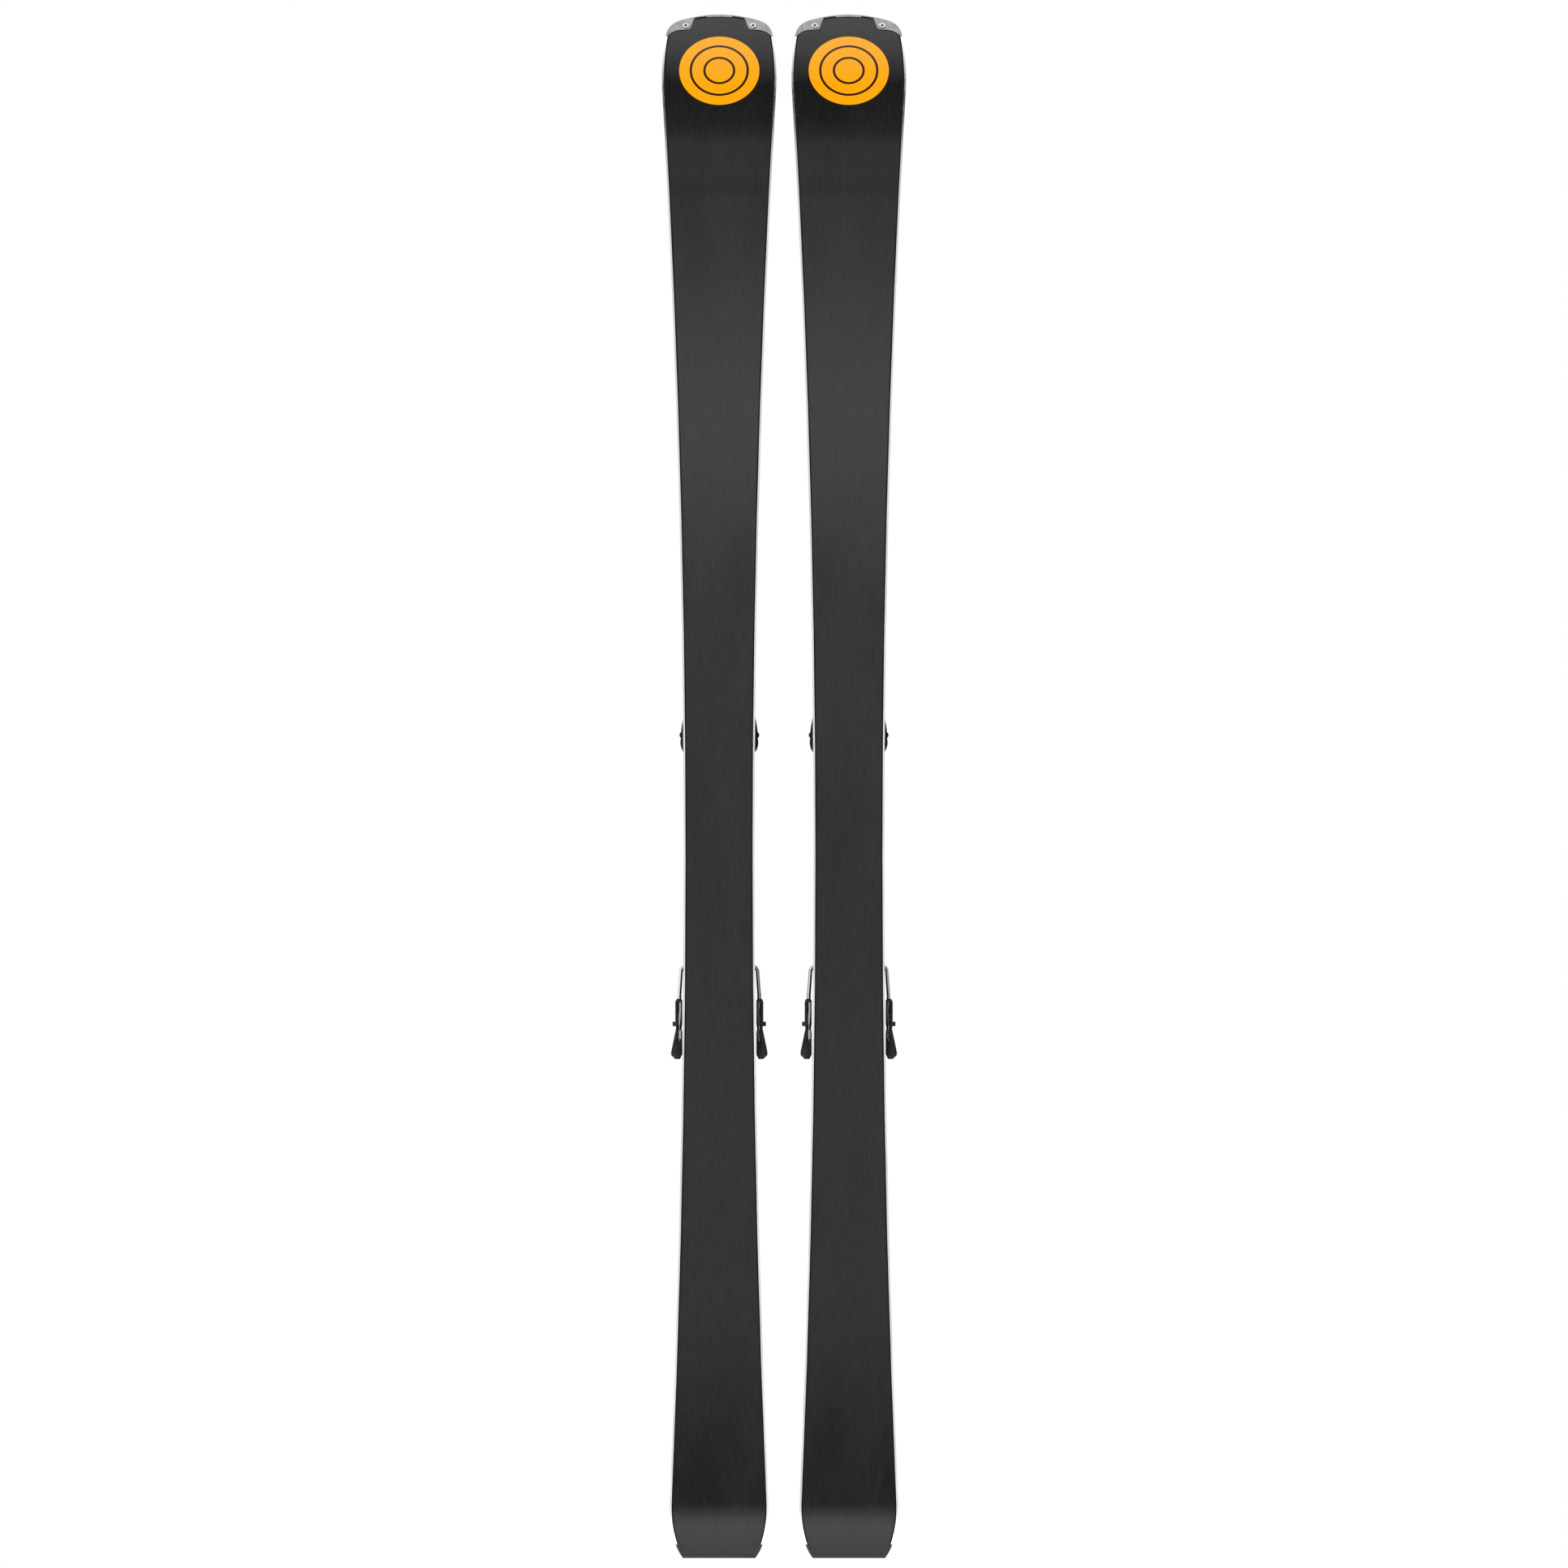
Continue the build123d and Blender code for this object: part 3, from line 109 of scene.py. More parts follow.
# how bright the studio is below the object, by the angle from straight down towards the tips
room_below = [
    (-90, 1.3), (-28, 1.58), (-19, 1.80), (-13, 1.90), (-9.7, 1.55), (-6.6, 0.75), (-5.2, 0.25), (-4.5, 0.15),
    (-4.1, 0.30), (-3.35, 1.20), (-2.8, 0.70), (-2.3, 1.02), (-1.7, 0.78), (-0.6, 0.74), (0.35, 0.74),
    (0.9, 1.10), (1.4, 0.72), (1.9, 1.85), (2.9, 1.55), (3.5, 0.80), (4.0, 0.56), (7.9, 0.74), (13, 0.67),
    (20.5, 0.66), (24.4, 0.34), (30, 0.17), (34, 0.13), (46, 0.05), (56, 0.80), (62, 1.30), (73, 1.65),
    (90, 1.5),
]
# how bright it is to the sides, from -X to +X: one side is darker but for its far wall
room_beside = [(-1.0, 1.3), (-0.92, 1.2), (-0.84, 0.15), (-0.3, 0.10), (0.3, 1.5), (1.0, 1.5)]
beside_from, beside_to = 0.25, 0.50  # how far sideways a direction points where the sides take over
room_above = 0.85


class Nodes:
    """A node tree that is put together step by step."""

    def __init__(self, tree):
        self.tree = tree

    def add(self, kind, **settings):
        """A new node with those settings."""
        node = self.tree.nodes.new(kind)
        for key, value in settings.items():
            setattr(node, key, value)
        return node

    def link(self, source, target):
        self.tree.links.new(source, target)

    def math(self, operation, first, second=None):
        """A Math node's result; first and second are numbers or sockets."""
        node = self.add("ShaderNodeMath", operation=operation)
        for socket, value in zip(node.inputs, (first, second)):
            self.feed(value, socket)
        return node.outputs[0]

    def feed(self, value, socket):
        """Sets a socket to a number or links it to another socket."""
        if value is None:
            return
        if isinstance(value, bpy.types.NodeSocket):
            self.link(value, socket)
        else:
            socket.default_value = value

    def blend(self, factor, first, second):
        """A number between first and second."""
        node = self.add("ShaderNodeMix", data_type="FLOAT")
        for socket, value in zip(node.inputs[:1] + node.inputs[2:4], (factor, first, second)):
            self.feed(value, socket)
        return node.outputs[0]

    def ramp(self, factor, stops):
        """A colour ramp over greys or colours; stops are (place, value)."""
        node = self.add("ShaderNodeValToRGB")
        elements = node.color_ramp.elements
        while len(elements) < len(stops):
            elements.new(1.0)
        for element, (place, value) in zip(elements, stops):
            element.position = place
            color = value if isinstance(value, tuple) else (value, value, value)
            element.color = (*color, 1.0)
        self.feed(factor, node.inputs["Fac"])
        return node.outputs["Color"]

    def mix(self, factor, first, second):
        """A blend of two colours."""
        node = self.add("ShaderNodeMix", data_type="RGBA")
        self.feed(factor, node.inputs[0])
        for value, socket in ((first, node.inputs[6]), (second, node.inputs[7])):
            self.feed((*value, 1.0) if isinstance(value, tuple) else value, socket)
        return node.outputs[2]

    def place(self, scale=(1, 1, 1)):
        """The point on the object, in metres, stretched by scale."""
        mapping = self.add("ShaderNodeMapping")
        mapping.inputs["Scale"].default_value = scale
        self.link(self.add("ShaderNodeTexCoord").outputs["Object"], mapping.inputs["Vector"])
        return mapping.outputs["Vector"]

    def axes(self):
        """The X, Y and Z of the point on the object."""
        point = self.add("ShaderNodeSeparateXYZ")
        self.link(self.place(), point.inputs[0])
        return point.outputs

    def fade(self, value, start, end, first=0.0, last=1.0):
        """A soft step, from first where value is under start to last where it is over end."""
        step = self.add("ShaderNodeMapRange", interpolation_type="SMOOTHSTEP")
        step.inputs["From Min"].default_value = start
        step.inputs["From Max"].default_value = end
        step.inputs["To Min"].default_value = first
        step.inputs["To Max"].default_value = last
        self.link(value, step.inputs["Value"])
        return step.outputs["Result"]

    def noise(self, scale, stretch=(1, 1, 1), detail=3.0):
        """Noise from 0 to 1; stretch is how much finer it is along each axis."""
        node = self.add("ShaderNodeTexNoise")
        node.inputs["Scale"].default_value = scale
        node.inputs["Detail"].default_value = detail
        self.link(self.place(stretch), node.inputs["Vector"])
        return node.outputs["Fac"]


def make_world():
    """White to the camera, plain soft light from all round, brighter and darker walls for shiny surfaces."""
    world = bpy.data.worlds.new("studio")
    bpy.context.scene.world = world
    world.use_nodes = True
    world.node_tree.nodes.clear()
    tree = Nodes(world.node_tree)
    direction = tree.add("ShaderNodeSeparateXYZ")
    tree.link(tree.add("ShaderNodeTexCoord").outputs["Generated"], direction.inputs[0])
    down = tree.math("MULTIPLY", direction.outputs["Z"], -1.0)
    angle = tree.math("ARCTAN2", direction.outputs["Y"], down)
    share = tree.math("ADD", tree.math("DIVIDE", angle, math.pi), 0.5)
    top = max(level for _, level in room_below)
    stops = [((degrees + 90) / 180, level / top) for degrees, level in room_below]
    below = tree.math("MULTIPLY", tree.ramp(share, stops), top)
    is_above = tree.math("GREATER_THAN", direction.outputs["Z"], 0.0)
    sideways = tree.fade(tree.math("ABSOLUTE", direction.outputs["X"]), beside_from, beside_to)
    across = tree.math("ADD", tree.math("MULTIPLY", direction.outputs["X"], 0.5), 0.5)
    brightest = max(level for _, level in room_beside)
    side_stops = [((place + 1) / 2, level / brightest) for place, level in room_beside]
    beside = tree.math("MULTIPLY", tree.ramp(across, side_stops), brightest)
    around = tree.blend(sideways, below, beside)
    mirrored = tree.blend(is_above, around, room_above)
    rays = tree.add("ShaderNodeLightPath").outputs
    seen = tree.math("MAXIMUM", rays["Is Camera Ray"], rays["Is Transmission Ray"])
    not_seen = tree.math("SUBTRACT", 1.0, tree.math("MAXIMUM", seen, rays["Is Glossy Ray"]))
    glossy_only = tree.math("MULTIPLY", rays["Is Glossy Ray"], tree.math("SUBTRACT", 1.0, seen))
    level = tree.math("MULTIPLY", glossy_only, mirrored)
    level = tree.math("ADD", level, seen)
    level = tree.math("ADD", level, tree.math("MULTIPLY", not_seen, room_level))
    background = tree.add("ShaderNodeBackground")
    background.inputs["Color"].default_value = (1, 1, 1, 1)
    tree.link(level, background.inputs["Strength"])
    output = tree.add("ShaderNodeOutputWorld")
    tree.link(background.outputs[0], output.inputs["Surface"])


def add_lamp(name, place, size, watts):
    """A soft square lamp, aimed at the middle, that neither the camera nor glossy surfaces see."""
    lamp = bpy.data.objects.new(name, bpy.data.lights.new(name, "AREA"))
    lamp.data.size = size
    lamp.data.energy = watts
    lamp.location = place
    lamp.rotation_euler = (-Vector(place)).to_track_quat("-Z", "Y").to_euler()
    lamp.visible_camera = False
    lamp.visible_glossy = False
    bpy.context.scene.collection.objects.link(lamp)


floor_depth = 1.0 * MM
floor_radius = 7.0
floor_tone = 0.9
floor_fade_from, floor_fade_to = 1.2, 4.5  # how far out the floor starts and ends to fade


def make_floor():
    """A pale floor, seen from above only, that fades into the white room."""
    mesh = bpy.data.meshes.new("floor")
    cutter = bmesh.new()
    bmesh.ops.create_circle(cutter, cap_ends=True, segments=96, radius=floor_radius)
    cutter.to_mesh(mesh)
    cutter.free()
    floor = bpy.data.objects.new("floor", mesh)
    floor.location.z = -floor_depth
    bpy.context.scene.collection.objects.link(floor)
    floor.visible_diffuse = False
    floor.visible_glossy = False
    floor.visible_shadow = False
    paint = bpy.data.materials.new("floor")
    paint.use_nodes = True
    paint.node_tree.nodes.clear()
    tree = Nodes(paint.node_tree)
    length = tree.add("ShaderNodeVectorMath", operation="LENGTH")
    tree.link(tree.place(), length.inputs[0])
    fade = tree.fade(length.outputs["Value"], floor_fade_from, floor_fade_to)
    back = tree.add("ShaderNodeNewGeometry").outputs["Backfacing"]
    shade = tree.add("ShaderNodeBsdfDiffuse")
    shade.inputs["Color"].default_value = (floor_tone, floor_tone, floor_tone, 1)
    clear = tree.add("ShaderNodeBsdfTransparent")
    mixed = tree.add("ShaderNodeMixShader")
    tree.link(tree.math("MAXIMUM", back, fade), mixed.inputs[0])
    tree.link(shade.outputs[0], mixed.inputs[1])
    tree.link(clear.outputs[0], mixed.inputs[2])
    output = tree.add("ShaderNodeOutputMaterial")
    tree.link(mixed.outputs[0], output.inputs["Surface"])
    mesh.materials.append(paint)


# ---------------------------------------------------------------- materials
def finish(name, color, roughness, metallic=0.0, **sockets):
    """A material and its node tree, with a plain Principled shader to build on."""
    paint = bpy.data.materials.new(name)
    paint.use_nodes = True
    shader = paint.node_tree.nodes["Principled BSDF"]
    shader.inputs["Base Color"].default_value = (*color, 1.0)
    shader.inputs["Roughness"].default_value = roughness
    shader.inputs["Metallic"].default_value = metallic
    for key, value in sockets.items():
        shader.inputs[key.replace("_", " ")].default_value = value
    return paint, Nodes(paint.node_tree), shader


def add_bump(tree, shader, height, depth, strength=1.0):
    """Relief on the surface, from a height between 0 and 1; depth is in metres."""
    bump = tree.add("ShaderNodeBump")
    bump.inputs["Strength"].default_value = strength
    bump.inputs["Distance"].default_value = depth
    tree.link(height, bump.inputs["Height"])
    tree.link(bump.outputs["Normal"], shader.inputs["Normal"])


plastic_spread = 0.12  # from the smoothest place to the roughest


def plastic(name, dark, light, roughness, grain, relief, shine):
    """Moulded plastic: fine pebbled grain, cloudy tone and gloss."""
    paint, tree, shader = finish(name, light, roughness, Specular_IOR_Level=shine)
    clouds = tree.noise(45.0)
    tree.link(tree.ramp(clouds, [(0.3, dark), (0.7, light)]), shader.inputs["Base Color"])
    smooth, rough = roughness - plastic_spread / 2, roughness + plastic_spread / 2
    gloss = tree.ramp(tree.noise(90.0), [(0.3, smooth), (0.7, rough)])
    tree.link(gloss, shader.inputs["Roughness"])
    add_bump(tree, shader, tree.noise(grain, detail=2.0), relief * MM, 0.6)
    return paint


def metal(name, dark, light, roughness, scale, stretch, relief, spread):
    """Worked metal: streaks of tone and gloss; stretch sets which way they run."""
    paint, tree, shader = finish(name, light, roughness, metallic=1.0)
    streaks = tree.noise(scale, stretch, detail=4.0)
    tree.link(tree.ramp(streaks, [(0.25, dark), (0.75, light)]), shader.inputs["Base Color"])
    polish = tree.noise(scale * 0.6, stretch)
    gloss = tree.ramp(polish, [(0.25, roughness - spread), (0.75, roughness + spread)])
    tree.link(gloss, shader.inputs["Roughness"])
    add_bump(tree, shader, streaks, relief * MM, 0.5)
    return paint


disc_drop = 65.5 * MM  # from the tip back to the disc's centre
disc_half_width = 44.6 * MM
disc_half_length = 39.4 * MM
# the disc's rings, as shares of its radius
ring_edges = (0.74, 0.40)
ring_width = 0.06
ring_soft = 0.006
halo_edge = 1.03
halo_soft = 0.012
halo_brown = (0.02, 0.0035, 0.003)
orange = (1.0, 0.40, 0.002)
grey = (0.32, 0.32, 0.33)


def inside(tree, distance, edge, soft):
    """1 where distance is under edge, 0 beyond it, over a soft width."""
    return tree.fade(distance, edge - soft, edge + soft, 1.0, 0.0)


def base_finish(side):
    """Running surface: stone-ground black polyethylene with an inlaid orange disc near the tip."""
    black = (0.010, 0.010, 0.011)
    paint, tree, shader = finish(f"base_{side}", black, 0.085, Specular_IOR_Level=0.385)
    fine = tree.noise(1400.0, (1, 0.012, 1), detail=5.0)
    broad = tree.noise(24.0, (1, 0.25, 1), detail=4.0)
    stripes = tree.noise(330.0, (1, 0.12, 1), detail=3.0)
    cloud = tree.ramp(broad, [(0.3, (0.0076, 0.0086, 0.0086)), (0.72, (0.0122, 0.0136, 0.0130))])
    streak = tree.ramp(stripes, [(0.3, 0.72), (0.7, 1.28)])
    ground = tree.add("ShaderNodeMix", data_type="RGBA", blend_type="MULTIPLY")
    ground.inputs[0].default_value = 1.0
    tree.link(cloud, ground.inputs[6])
    tree.link(streak, ground.inputs[7])
    point = tree.axes()
    across = tree.math("DIVIDE", tree.math("SUBTRACT", point["X"], ski_x[side]), disc_half_width)
    along = tree.math("DIVIDE", tree.math("SUBTRACT", point["Y"], tip_y - disc_drop), disc_half_length)
    squares = tree.math("ADD", tree.math("POWER", across, 2.0), tree.math("POWER", along, 2.0))
    distance = tree.math("SQRT", squares)
    rings = inside(tree, distance, 1.0, ring_soft)
    for edge in ring_edges:
        outer = inside(tree, distance, edge, ring_soft)
        inner = inside(tree, distance, edge - ring_width, ring_soft)
        rings = tree.math("SUBTRACT", rings, tree.math("SUBTRACT", outer, inner))
    halo = inside(tree, distance, halo_edge, halo_soft)
    rimmed = tree.mix(halo, ground.outputs[2], halo_brown)
    tree.link(tree.mix(rings, rimmed, orange), shader.inputs["Base Color"])
    gloss = tree.ramp(broad, [(0.3, 0.05), (0.7, 0.08)])
    tree.link(gloss, shader.inputs["Roughness"])
    add_bump(tree, shader, fine, 0.002 * MM, 0.7)
    return paint


band_slant = 0.9
band_soft = 0.3 * MM
# the bands across the top: place along the ski, half width, colour
bands = [
    (0.700, 0.014, orange), (0.672, 0.006, grey), (0.655, 0.003, orange), (0.330, 0.020, orange),
    (0.300, 0.004, grey), (-0.480, 0.004, grey), (-0.510, 0.020, orange), (-0.740, 0.008, orange),
]


def topsheet_finish(side):
    """Glossy lacquered black top with plain orange and grey bands across it."""
    black = (0.012, 0.012, 0.014)
    paint, tree, shader = finish(f"topsheet_{side}", black, 0.22, Coat_Weight=0.2, Coat_Roughness=0.12)
    shader.inputs["Specular IOR Level"].default_value = 0.4
    point = tree.axes()
    slant = band_slant if side == "left" else -band_slant
    across = tree.math("MULTIPLY", tree.math("SUBTRACT", point["X"], ski_x[side]), slant)
    place = tree.math("ADD", point["Y"], across)
    weave = tree.noise(260.0, (1, 0.35, 1), detail=2.0)
    color = tree.ramp(weave, [(0.35, (0.008, 0.008, 0.010)), (0.65, (0.018, 0.018, 0.021))])
    for band_y, half_band, tint in bands:
        off = tree.math("ABSOLUTE", tree.math("SUBTRACT", place, band_y))
        color = tree.mix(inside(tree, off, half_band, band_soft), color, tint)
    tree.link(color, shader.inputs["Base Color"])
    gloss = tree.ramp(tree.noise(30.0), [(0.3, 0.18), (0.7, 0.30)])
    tree.link(gloss, shader.inputs["Roughness"])
    add_bump(tree, shader, tree.noise(420.0, detail=2.0), 0.01 * MM, 0.4)
    return paint


def wood_finish():
    """Laminated poplar and beech stringers along the core."""
    paint, tree, shader = finish("core_wood", (0.5, 0.33, 0.17), 0.6)
    strips = tree.noise(8.0, (12, 0.05, 1), detail=1.0)
    fibre = tree.noise(600.0, (1, 0.02, 1), detail=5.0)
    tone = tree.math("ADD", tree.math("MULTIPLY", strips, 0.6), tree.math("MULTIPLY", fibre, 0.4))
    color = tree.ramp(tone, [(0.35, (0.30, 0.17, 0.075)), (0.65, (0.56, 0.40, 0.22))])
    tree.link(color, shader.inputs["Base Color"])
    add_bump(tree, shader, fibre, 0.03 * MM, 0.5)
    return paint


along_y = (1, 0.02, 1)
all_ways = (1, 1, 1)
black_low = (0.005, 0.005, 0.006)
black_high = (0.011, 0.011, 0.012)
# dark tone, light tone, roughness, scale of the streaks, their stretch, relief in mm, spread of the roughness
metals = {
    "edge_steel": ((0.70, 0.70, 0.70), (0.86, 0.86, 0.85), 0.24, 900.0, along_y, 0.004, 0.12),
    "laminate_metal": ((0.5, 0.5, 0.5), (0.62, 0.62, 0.62), 0.35, 500.0, along_y, 0.004, 0.12),
    "guard_metal": ((0.27, 0.265, 0.255), (0.35, 0.345, 0.33), 0.36, 380.0, (1, 0.25, 1), 0.01, 0.12),
    "screw_steel": ((0.60, 0.60, 0.60), (0.80, 0.80, 0.80), 0.20, 700.0, all_ways, 0.004, 0.12),
    "rail_screw_zinc": ((0.24, 0.24, 0.25), (0.34, 0.34, 0.35), 0.34, 700.0, all_ways, 0.004, 0.12),
    "pin_steel": ((0.55, 0.55, 0.56), (0.72, 0.72, 0.73), 0.25, 600.0, all_ways, 0.003, 0.12),
    "spring_steel": ((0.30, 0.30, 0.31), (0.45, 0.45, 0.46), 0.30, 700.0, all_ways, 0.004, 0.12),
    "wire_steel": ((0.52, 0.52, 0.53), (0.68, 0.68, 0.69), 0.17, 800.0, all_ways, 0.003, 0.06),
    "inlay_grey": ((0.24, 0.21, 0.21), (0.34, 0.30, 0.30), 0.28, 700.0, all_ways, 0.004, 0.12),
}
# dark tone, light tone, roughness, scale of the grain, relief in mm, shine
plastics = {
    "sidewall_black": ((0.010, 0.010, 0.011), (0.020, 0.020, 0.022), 0.38, 900.0, 0.02, 0.5),
    "guard_black": ((0.010, 0.010, 0.011), (0.019, 0.019, 0.021), 0.42, 700.0, 0.02, 0.5),
    "rail_black": ((0.012, 0.012, 0.013), (0.024, 0.024, 0.026), 0.48, 800.0, 0.03, 0.5),
    "binding_black": (black_low, black_high, 0.42, 900.0, 0.03, 0.16),
    "binding_shell": ((0.014, 0.014, 0.015), (0.026, 0.026, 0.028), 0.33, 1000.0, 0.02, 0.5),
    "piston_plastic": ((0.45, 0.44, 0.41), (0.55, 0.54, 0.50), 0.45, 600.0, 0.02, 0.5),
    "pad_plastic": ((0.26, 0.26, 0.27), (0.34, 0.34, 0.35), 0.40, 700.0, 0.02, 0.5),
    "lever_orange": ((0.85, 0.22, 0.006), (1.0, 0.32, 0.012), 0.34, 900.0, 0.02, 0.5),
    "seam_brown": ((0.012, 0.004, 0.003), (0.022, 0.008, 0.006), 0.6, 700.0, 0.01, 0.15),
    "mark_white": ((0.62, 0.62, 0.60), (0.75, 0.75, 0.73), 0.5, 900.0, 0.01, 0.5),
    "window_clear": ((0.02, 0.02, 0.02), (0.035, 0.035, 0.035), 0.12, 600.0, 0.002, 0.5),
    "brake_black": (black_low, black_high, 0.40, 800.0, 0.03, 0.35),
    "border_black": (black_low, black_high, 0.60, 800.0, 0.01, 0.12),
}
finishes = {name: metal(name, *values) for name, values in metals.items()}
finishes.update({name: plastic(name, *values) for name, values in plastics.items()})
finishes["core_wood"] = wood_finish()
by_side = {
    "base_black": {side: base_finish(side) for side in sides},
    "topsheet": {side: topsheet_finish(side) for side in sides},
}


def finish_of(slot, side):
    """The material of a slot on one ski."""
    return by_side[slot][side] if slot in by_side else finishes[slot]


def dress_cad_nodes():
    """Every CAD node gets the finish of its slot."""
    for name, node in nodes.items():
        side = name.split("_")[0]
        node.data.materials.clear()
        node.data.materials.append(finish_of(slots[name], side))


# ---------------------------------------------------------------- building pieces
sharp_angle = math.radians(32)
flat_angle = math.radians(0.6)
weld_distance = 0.002 * MM


def add_piece(name, mesh, slot, side, body, replaces=()):
    """Puts a mesh in the scene as a piece that rides on a body of that side's ski."""
    piece = bpy.data.objects.new(f"{side}_{name}", mesh)
    bpy.context.scene.collection.objects.link(piece)
    mesh.materials.clear()
    mesh.materials.append(finish_of(slot, side))
    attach(piece, f"{side}_{body}")
    if replaces:
        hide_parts(*[f"{side}_{node}" for node in replaces])
    return piece


def soften(piece, width):
    """Rounds a piece's sharp edges and keeps its flat faces flat."""
    for polygon in piece.data.polygons:
        polygon.use_smooth = True
    bevel = piece.modifiers.new("soften", "BEVEL")
    bevel.width = width
    bevel.segments = 2
    bevel.limit_method = "ANGLE"
    bevel.angle_limit = sharp_angle
    bevel.harden_normals = True
    bevel.miter_outer = "MITER_ARC"
    return piece


def worn_copy(node, width):
    """A CAD piece with its sharp edges rounded; it stands for the node."""
    side, name = node.split("_", 1)
    mesh = nodes[node].data.copy()
    tool = bmesh.new()
    tool.from_mesh(mesh)
    bmesh.ops.remove_doubles(tool, verts=tool.verts, dist=weld_distance)
    bmesh.ops.dissolve_limit(tool, angle_limit=flat_angle, verts=tool.verts, edges=tool.edges)
    many_sided = [face for face in tool.faces if len(face.verts) > 4]
    bmesh.ops.triangulate(tool, faces=many_sided)
    tool.to_mesh(mesh)
    tool.free()
    mesh.name = node + "_worn"
    body = nodes[node]["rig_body"].split("_", 1)[1]
    piece = add_piece(name + "_worn", mesh, slots[node], side, body, [name])
    return soften(piece, width)


def slab(outline, bottom, top):
    """A mesh with that outline, seen from above, between two heights."""
    mesh = bpy.data.meshes.new("slab")
    tool = bmesh.new()
    lower = [tool.verts.new((x, y, bottom)) for x, y in outline]
    upper = [tool.verts.new((x, y, top)) for x, y in outline]
    tool.faces.new(lower)
    tool.faces.new(upper)
    for i in range(len(outline)):
        j = (i + 1) % len(outline)
        tool.faces.new((lower[i], lower[j], upper[j], upper[i]))
    bmesh.ops.recalc_face_normals(tool, faces=tool.faces)
    tool.to_mesh(mesh)
    tool.free()
    return mesh


def rounded_box(center_x, center_y, width, length, radius, steps=5):
    """A rectangle with round corners, as a list of points."""
    points = []
    for corner in range(4):
        middle_angle = math.pi / 4 + corner * math.pi / 2
        cx = center_x + math.copysign(width / 2 - radius, math.cos(middle_angle))
        cy = center_y + math.copysign(length / 2 - radius, math.sin(middle_angle))
        for step in range(steps + 1):
            angle = corner * math.pi / 2 + step * math.pi / 2 / steps
            points.append((cx + radius * math.cos(angle), cy + radius * math.sin(angle)))
    return points


def rod(points, radius, corners):
    """A round rod along a line of points, with flat ends."""
    mesh = bpy.data.meshes.new("rod")
    tool = bmesh.new()
    rings = []
    for i, point in enumerate(points):
        ahead = points[min(i + 1, len(points) - 1)]
        behind = points[max(i - 1, 0)]
        direction = (ahead - behind).normalized()
        side_way = direction.orthogonal().normalized()
        up_way = direction.cross(side_way)
        turns = [2 * math.pi * k / corners for k in range(corners)]
        spokes = [side_way * math.cos(turn) + up_way * math.sin(turn) for turn in turns]
        rings.append([tool.verts.new(point + spoke * radius) for spoke in spokes])
    for first, second in zip(rings, rings[1:]):
        for k in range(corners):
            following = (k + 1) % corners
            tool.faces.new((first[k], first[following], second[following], second[k]))
    tool.faces.new(rings[0])
    tool.faces.new(rings[-1])
    bmesh.ops.recalc_face_normals(tool, faces=tool.faces)
    tool.to_mesh(mesh)
    tool.free()
    for polygon in mesh.polygons:
        polygon.use_smooth = True
    return mesh


def join_meshes(meshes):
    """One mesh from several."""
    tool = bmesh.new()
    for mesh in meshes:
        tool.from_mesh(mesh)
    joined = bpy.data.meshes.new("joined")
    tool.to_mesh(joined)
    tool.free()
    return joined


numeral_relief = 0.15 * MM


def numeral(text, size, place):
    """A flat raised numeral as a mesh."""
    curve = bpy.data.curves.new("numeral", "FONT")
    curve.body = text
    curve.size = size
    curve.extrude = numeral_relief
    curve.align_x = "CENTER"
    curve.align_y = "CENTER"
    holder = bpy.data.objects.new("numeral", curve)
    bpy.context.scene.collection.objects.link(holder)
    bpy.context.view_layer.update()
    mesh = bpy.data.meshes.new_from_object(holder)
    bpy.data.objects.remove(holder)
    mesh.transform(Matrix.Translation(place))
    return mesh


# ---------------------------------------------------------------- CAD pieces with their edges rounded
# in mm
edge_radii = {
    "binding_rail": 0.5, "toe_base": 0.7, "toe_pad": 0.4, "toe_housing": 0.9, "toe_wing_inner": 0.8,
    "toe_wing_outer": 0.8, "toe_release_screw": 0.3, "heel_carriage": 0.7, "heel_housing": 1.0,
    "heel_cup": 0.8, "heel_release_screw": 0.3, "heel_lever": 0.6, "brake_pedal": 0.5, "brake_shoes": 0.5,
    "tip_guard_screws": 0.2, "tail_guard": 0.3,
}


def wear_edges(side):
    """Rounds the edges of one ski's rigid pieces."""
    for name, radius in edge_radii.items():
        worn_copy(f"{side}_{name}", radius * MM)


# ---------------------------------------------------------------- ski outline
waist_y = -80.0 * MM
waist_half_width = 39.2 * MM
edge_width = 2.0 * MM
front_sidecut_radius = 15.0
rear_sidecut_radius = 16.6
front_round_y = tip_y - 91.0 * MM
rear_round_y = tail_y + 62.0 * MM
tip_side_radius = 300.0 * MM
tail_side_radius = 130.0 * MM
nose_radius = 140.0 * MM
tip_guard_y = tip_y - 25.0 * MM
tail_corner_y = tail_y + 15.5 * MM
tip_rise_y = tip_y - 194.0 * MM
tail_rise_y = tail_y + 52.0 * MM
tip_rise_radius = 320.0 * MM
tail_rise_radius = 220.0 * MM


def base_height(y):
    """Height of the base over the floor."""
    if y > tip_rise_y:
        return tip_rise_radius - math.sqrt(tip_rise_radius**2 - (y - tip_rise_y) ** 2)
    if y < tail_rise_y:
        return tail_rise_radius - math.sqrt(tail_rise_radius**2 - (tail_rise_y - y) ** 2)
    return 0.0


lean_blend = 18.0 * MM  # the shine turns from flat to rising over this length, each way
lean_cuts = 6


def base_lean(y):
    """The base's slope, as an angle, with a soft start at both ends of the flat."""
    for rise_y, radius, way in ((tip_rise_y, tip_rise_radius, 1), (tail_rise_y, tail_rise_radius, -1)):
        beyond = (y - rise_y) * way
        if beyond > lean_blend:
            return way * math.asin(beyond / radius)
        if beyond > -lean_blend:
            return way * (beyond + lean_blend) ** 2 / (4 * lean_blend * radius)
    return 0.0


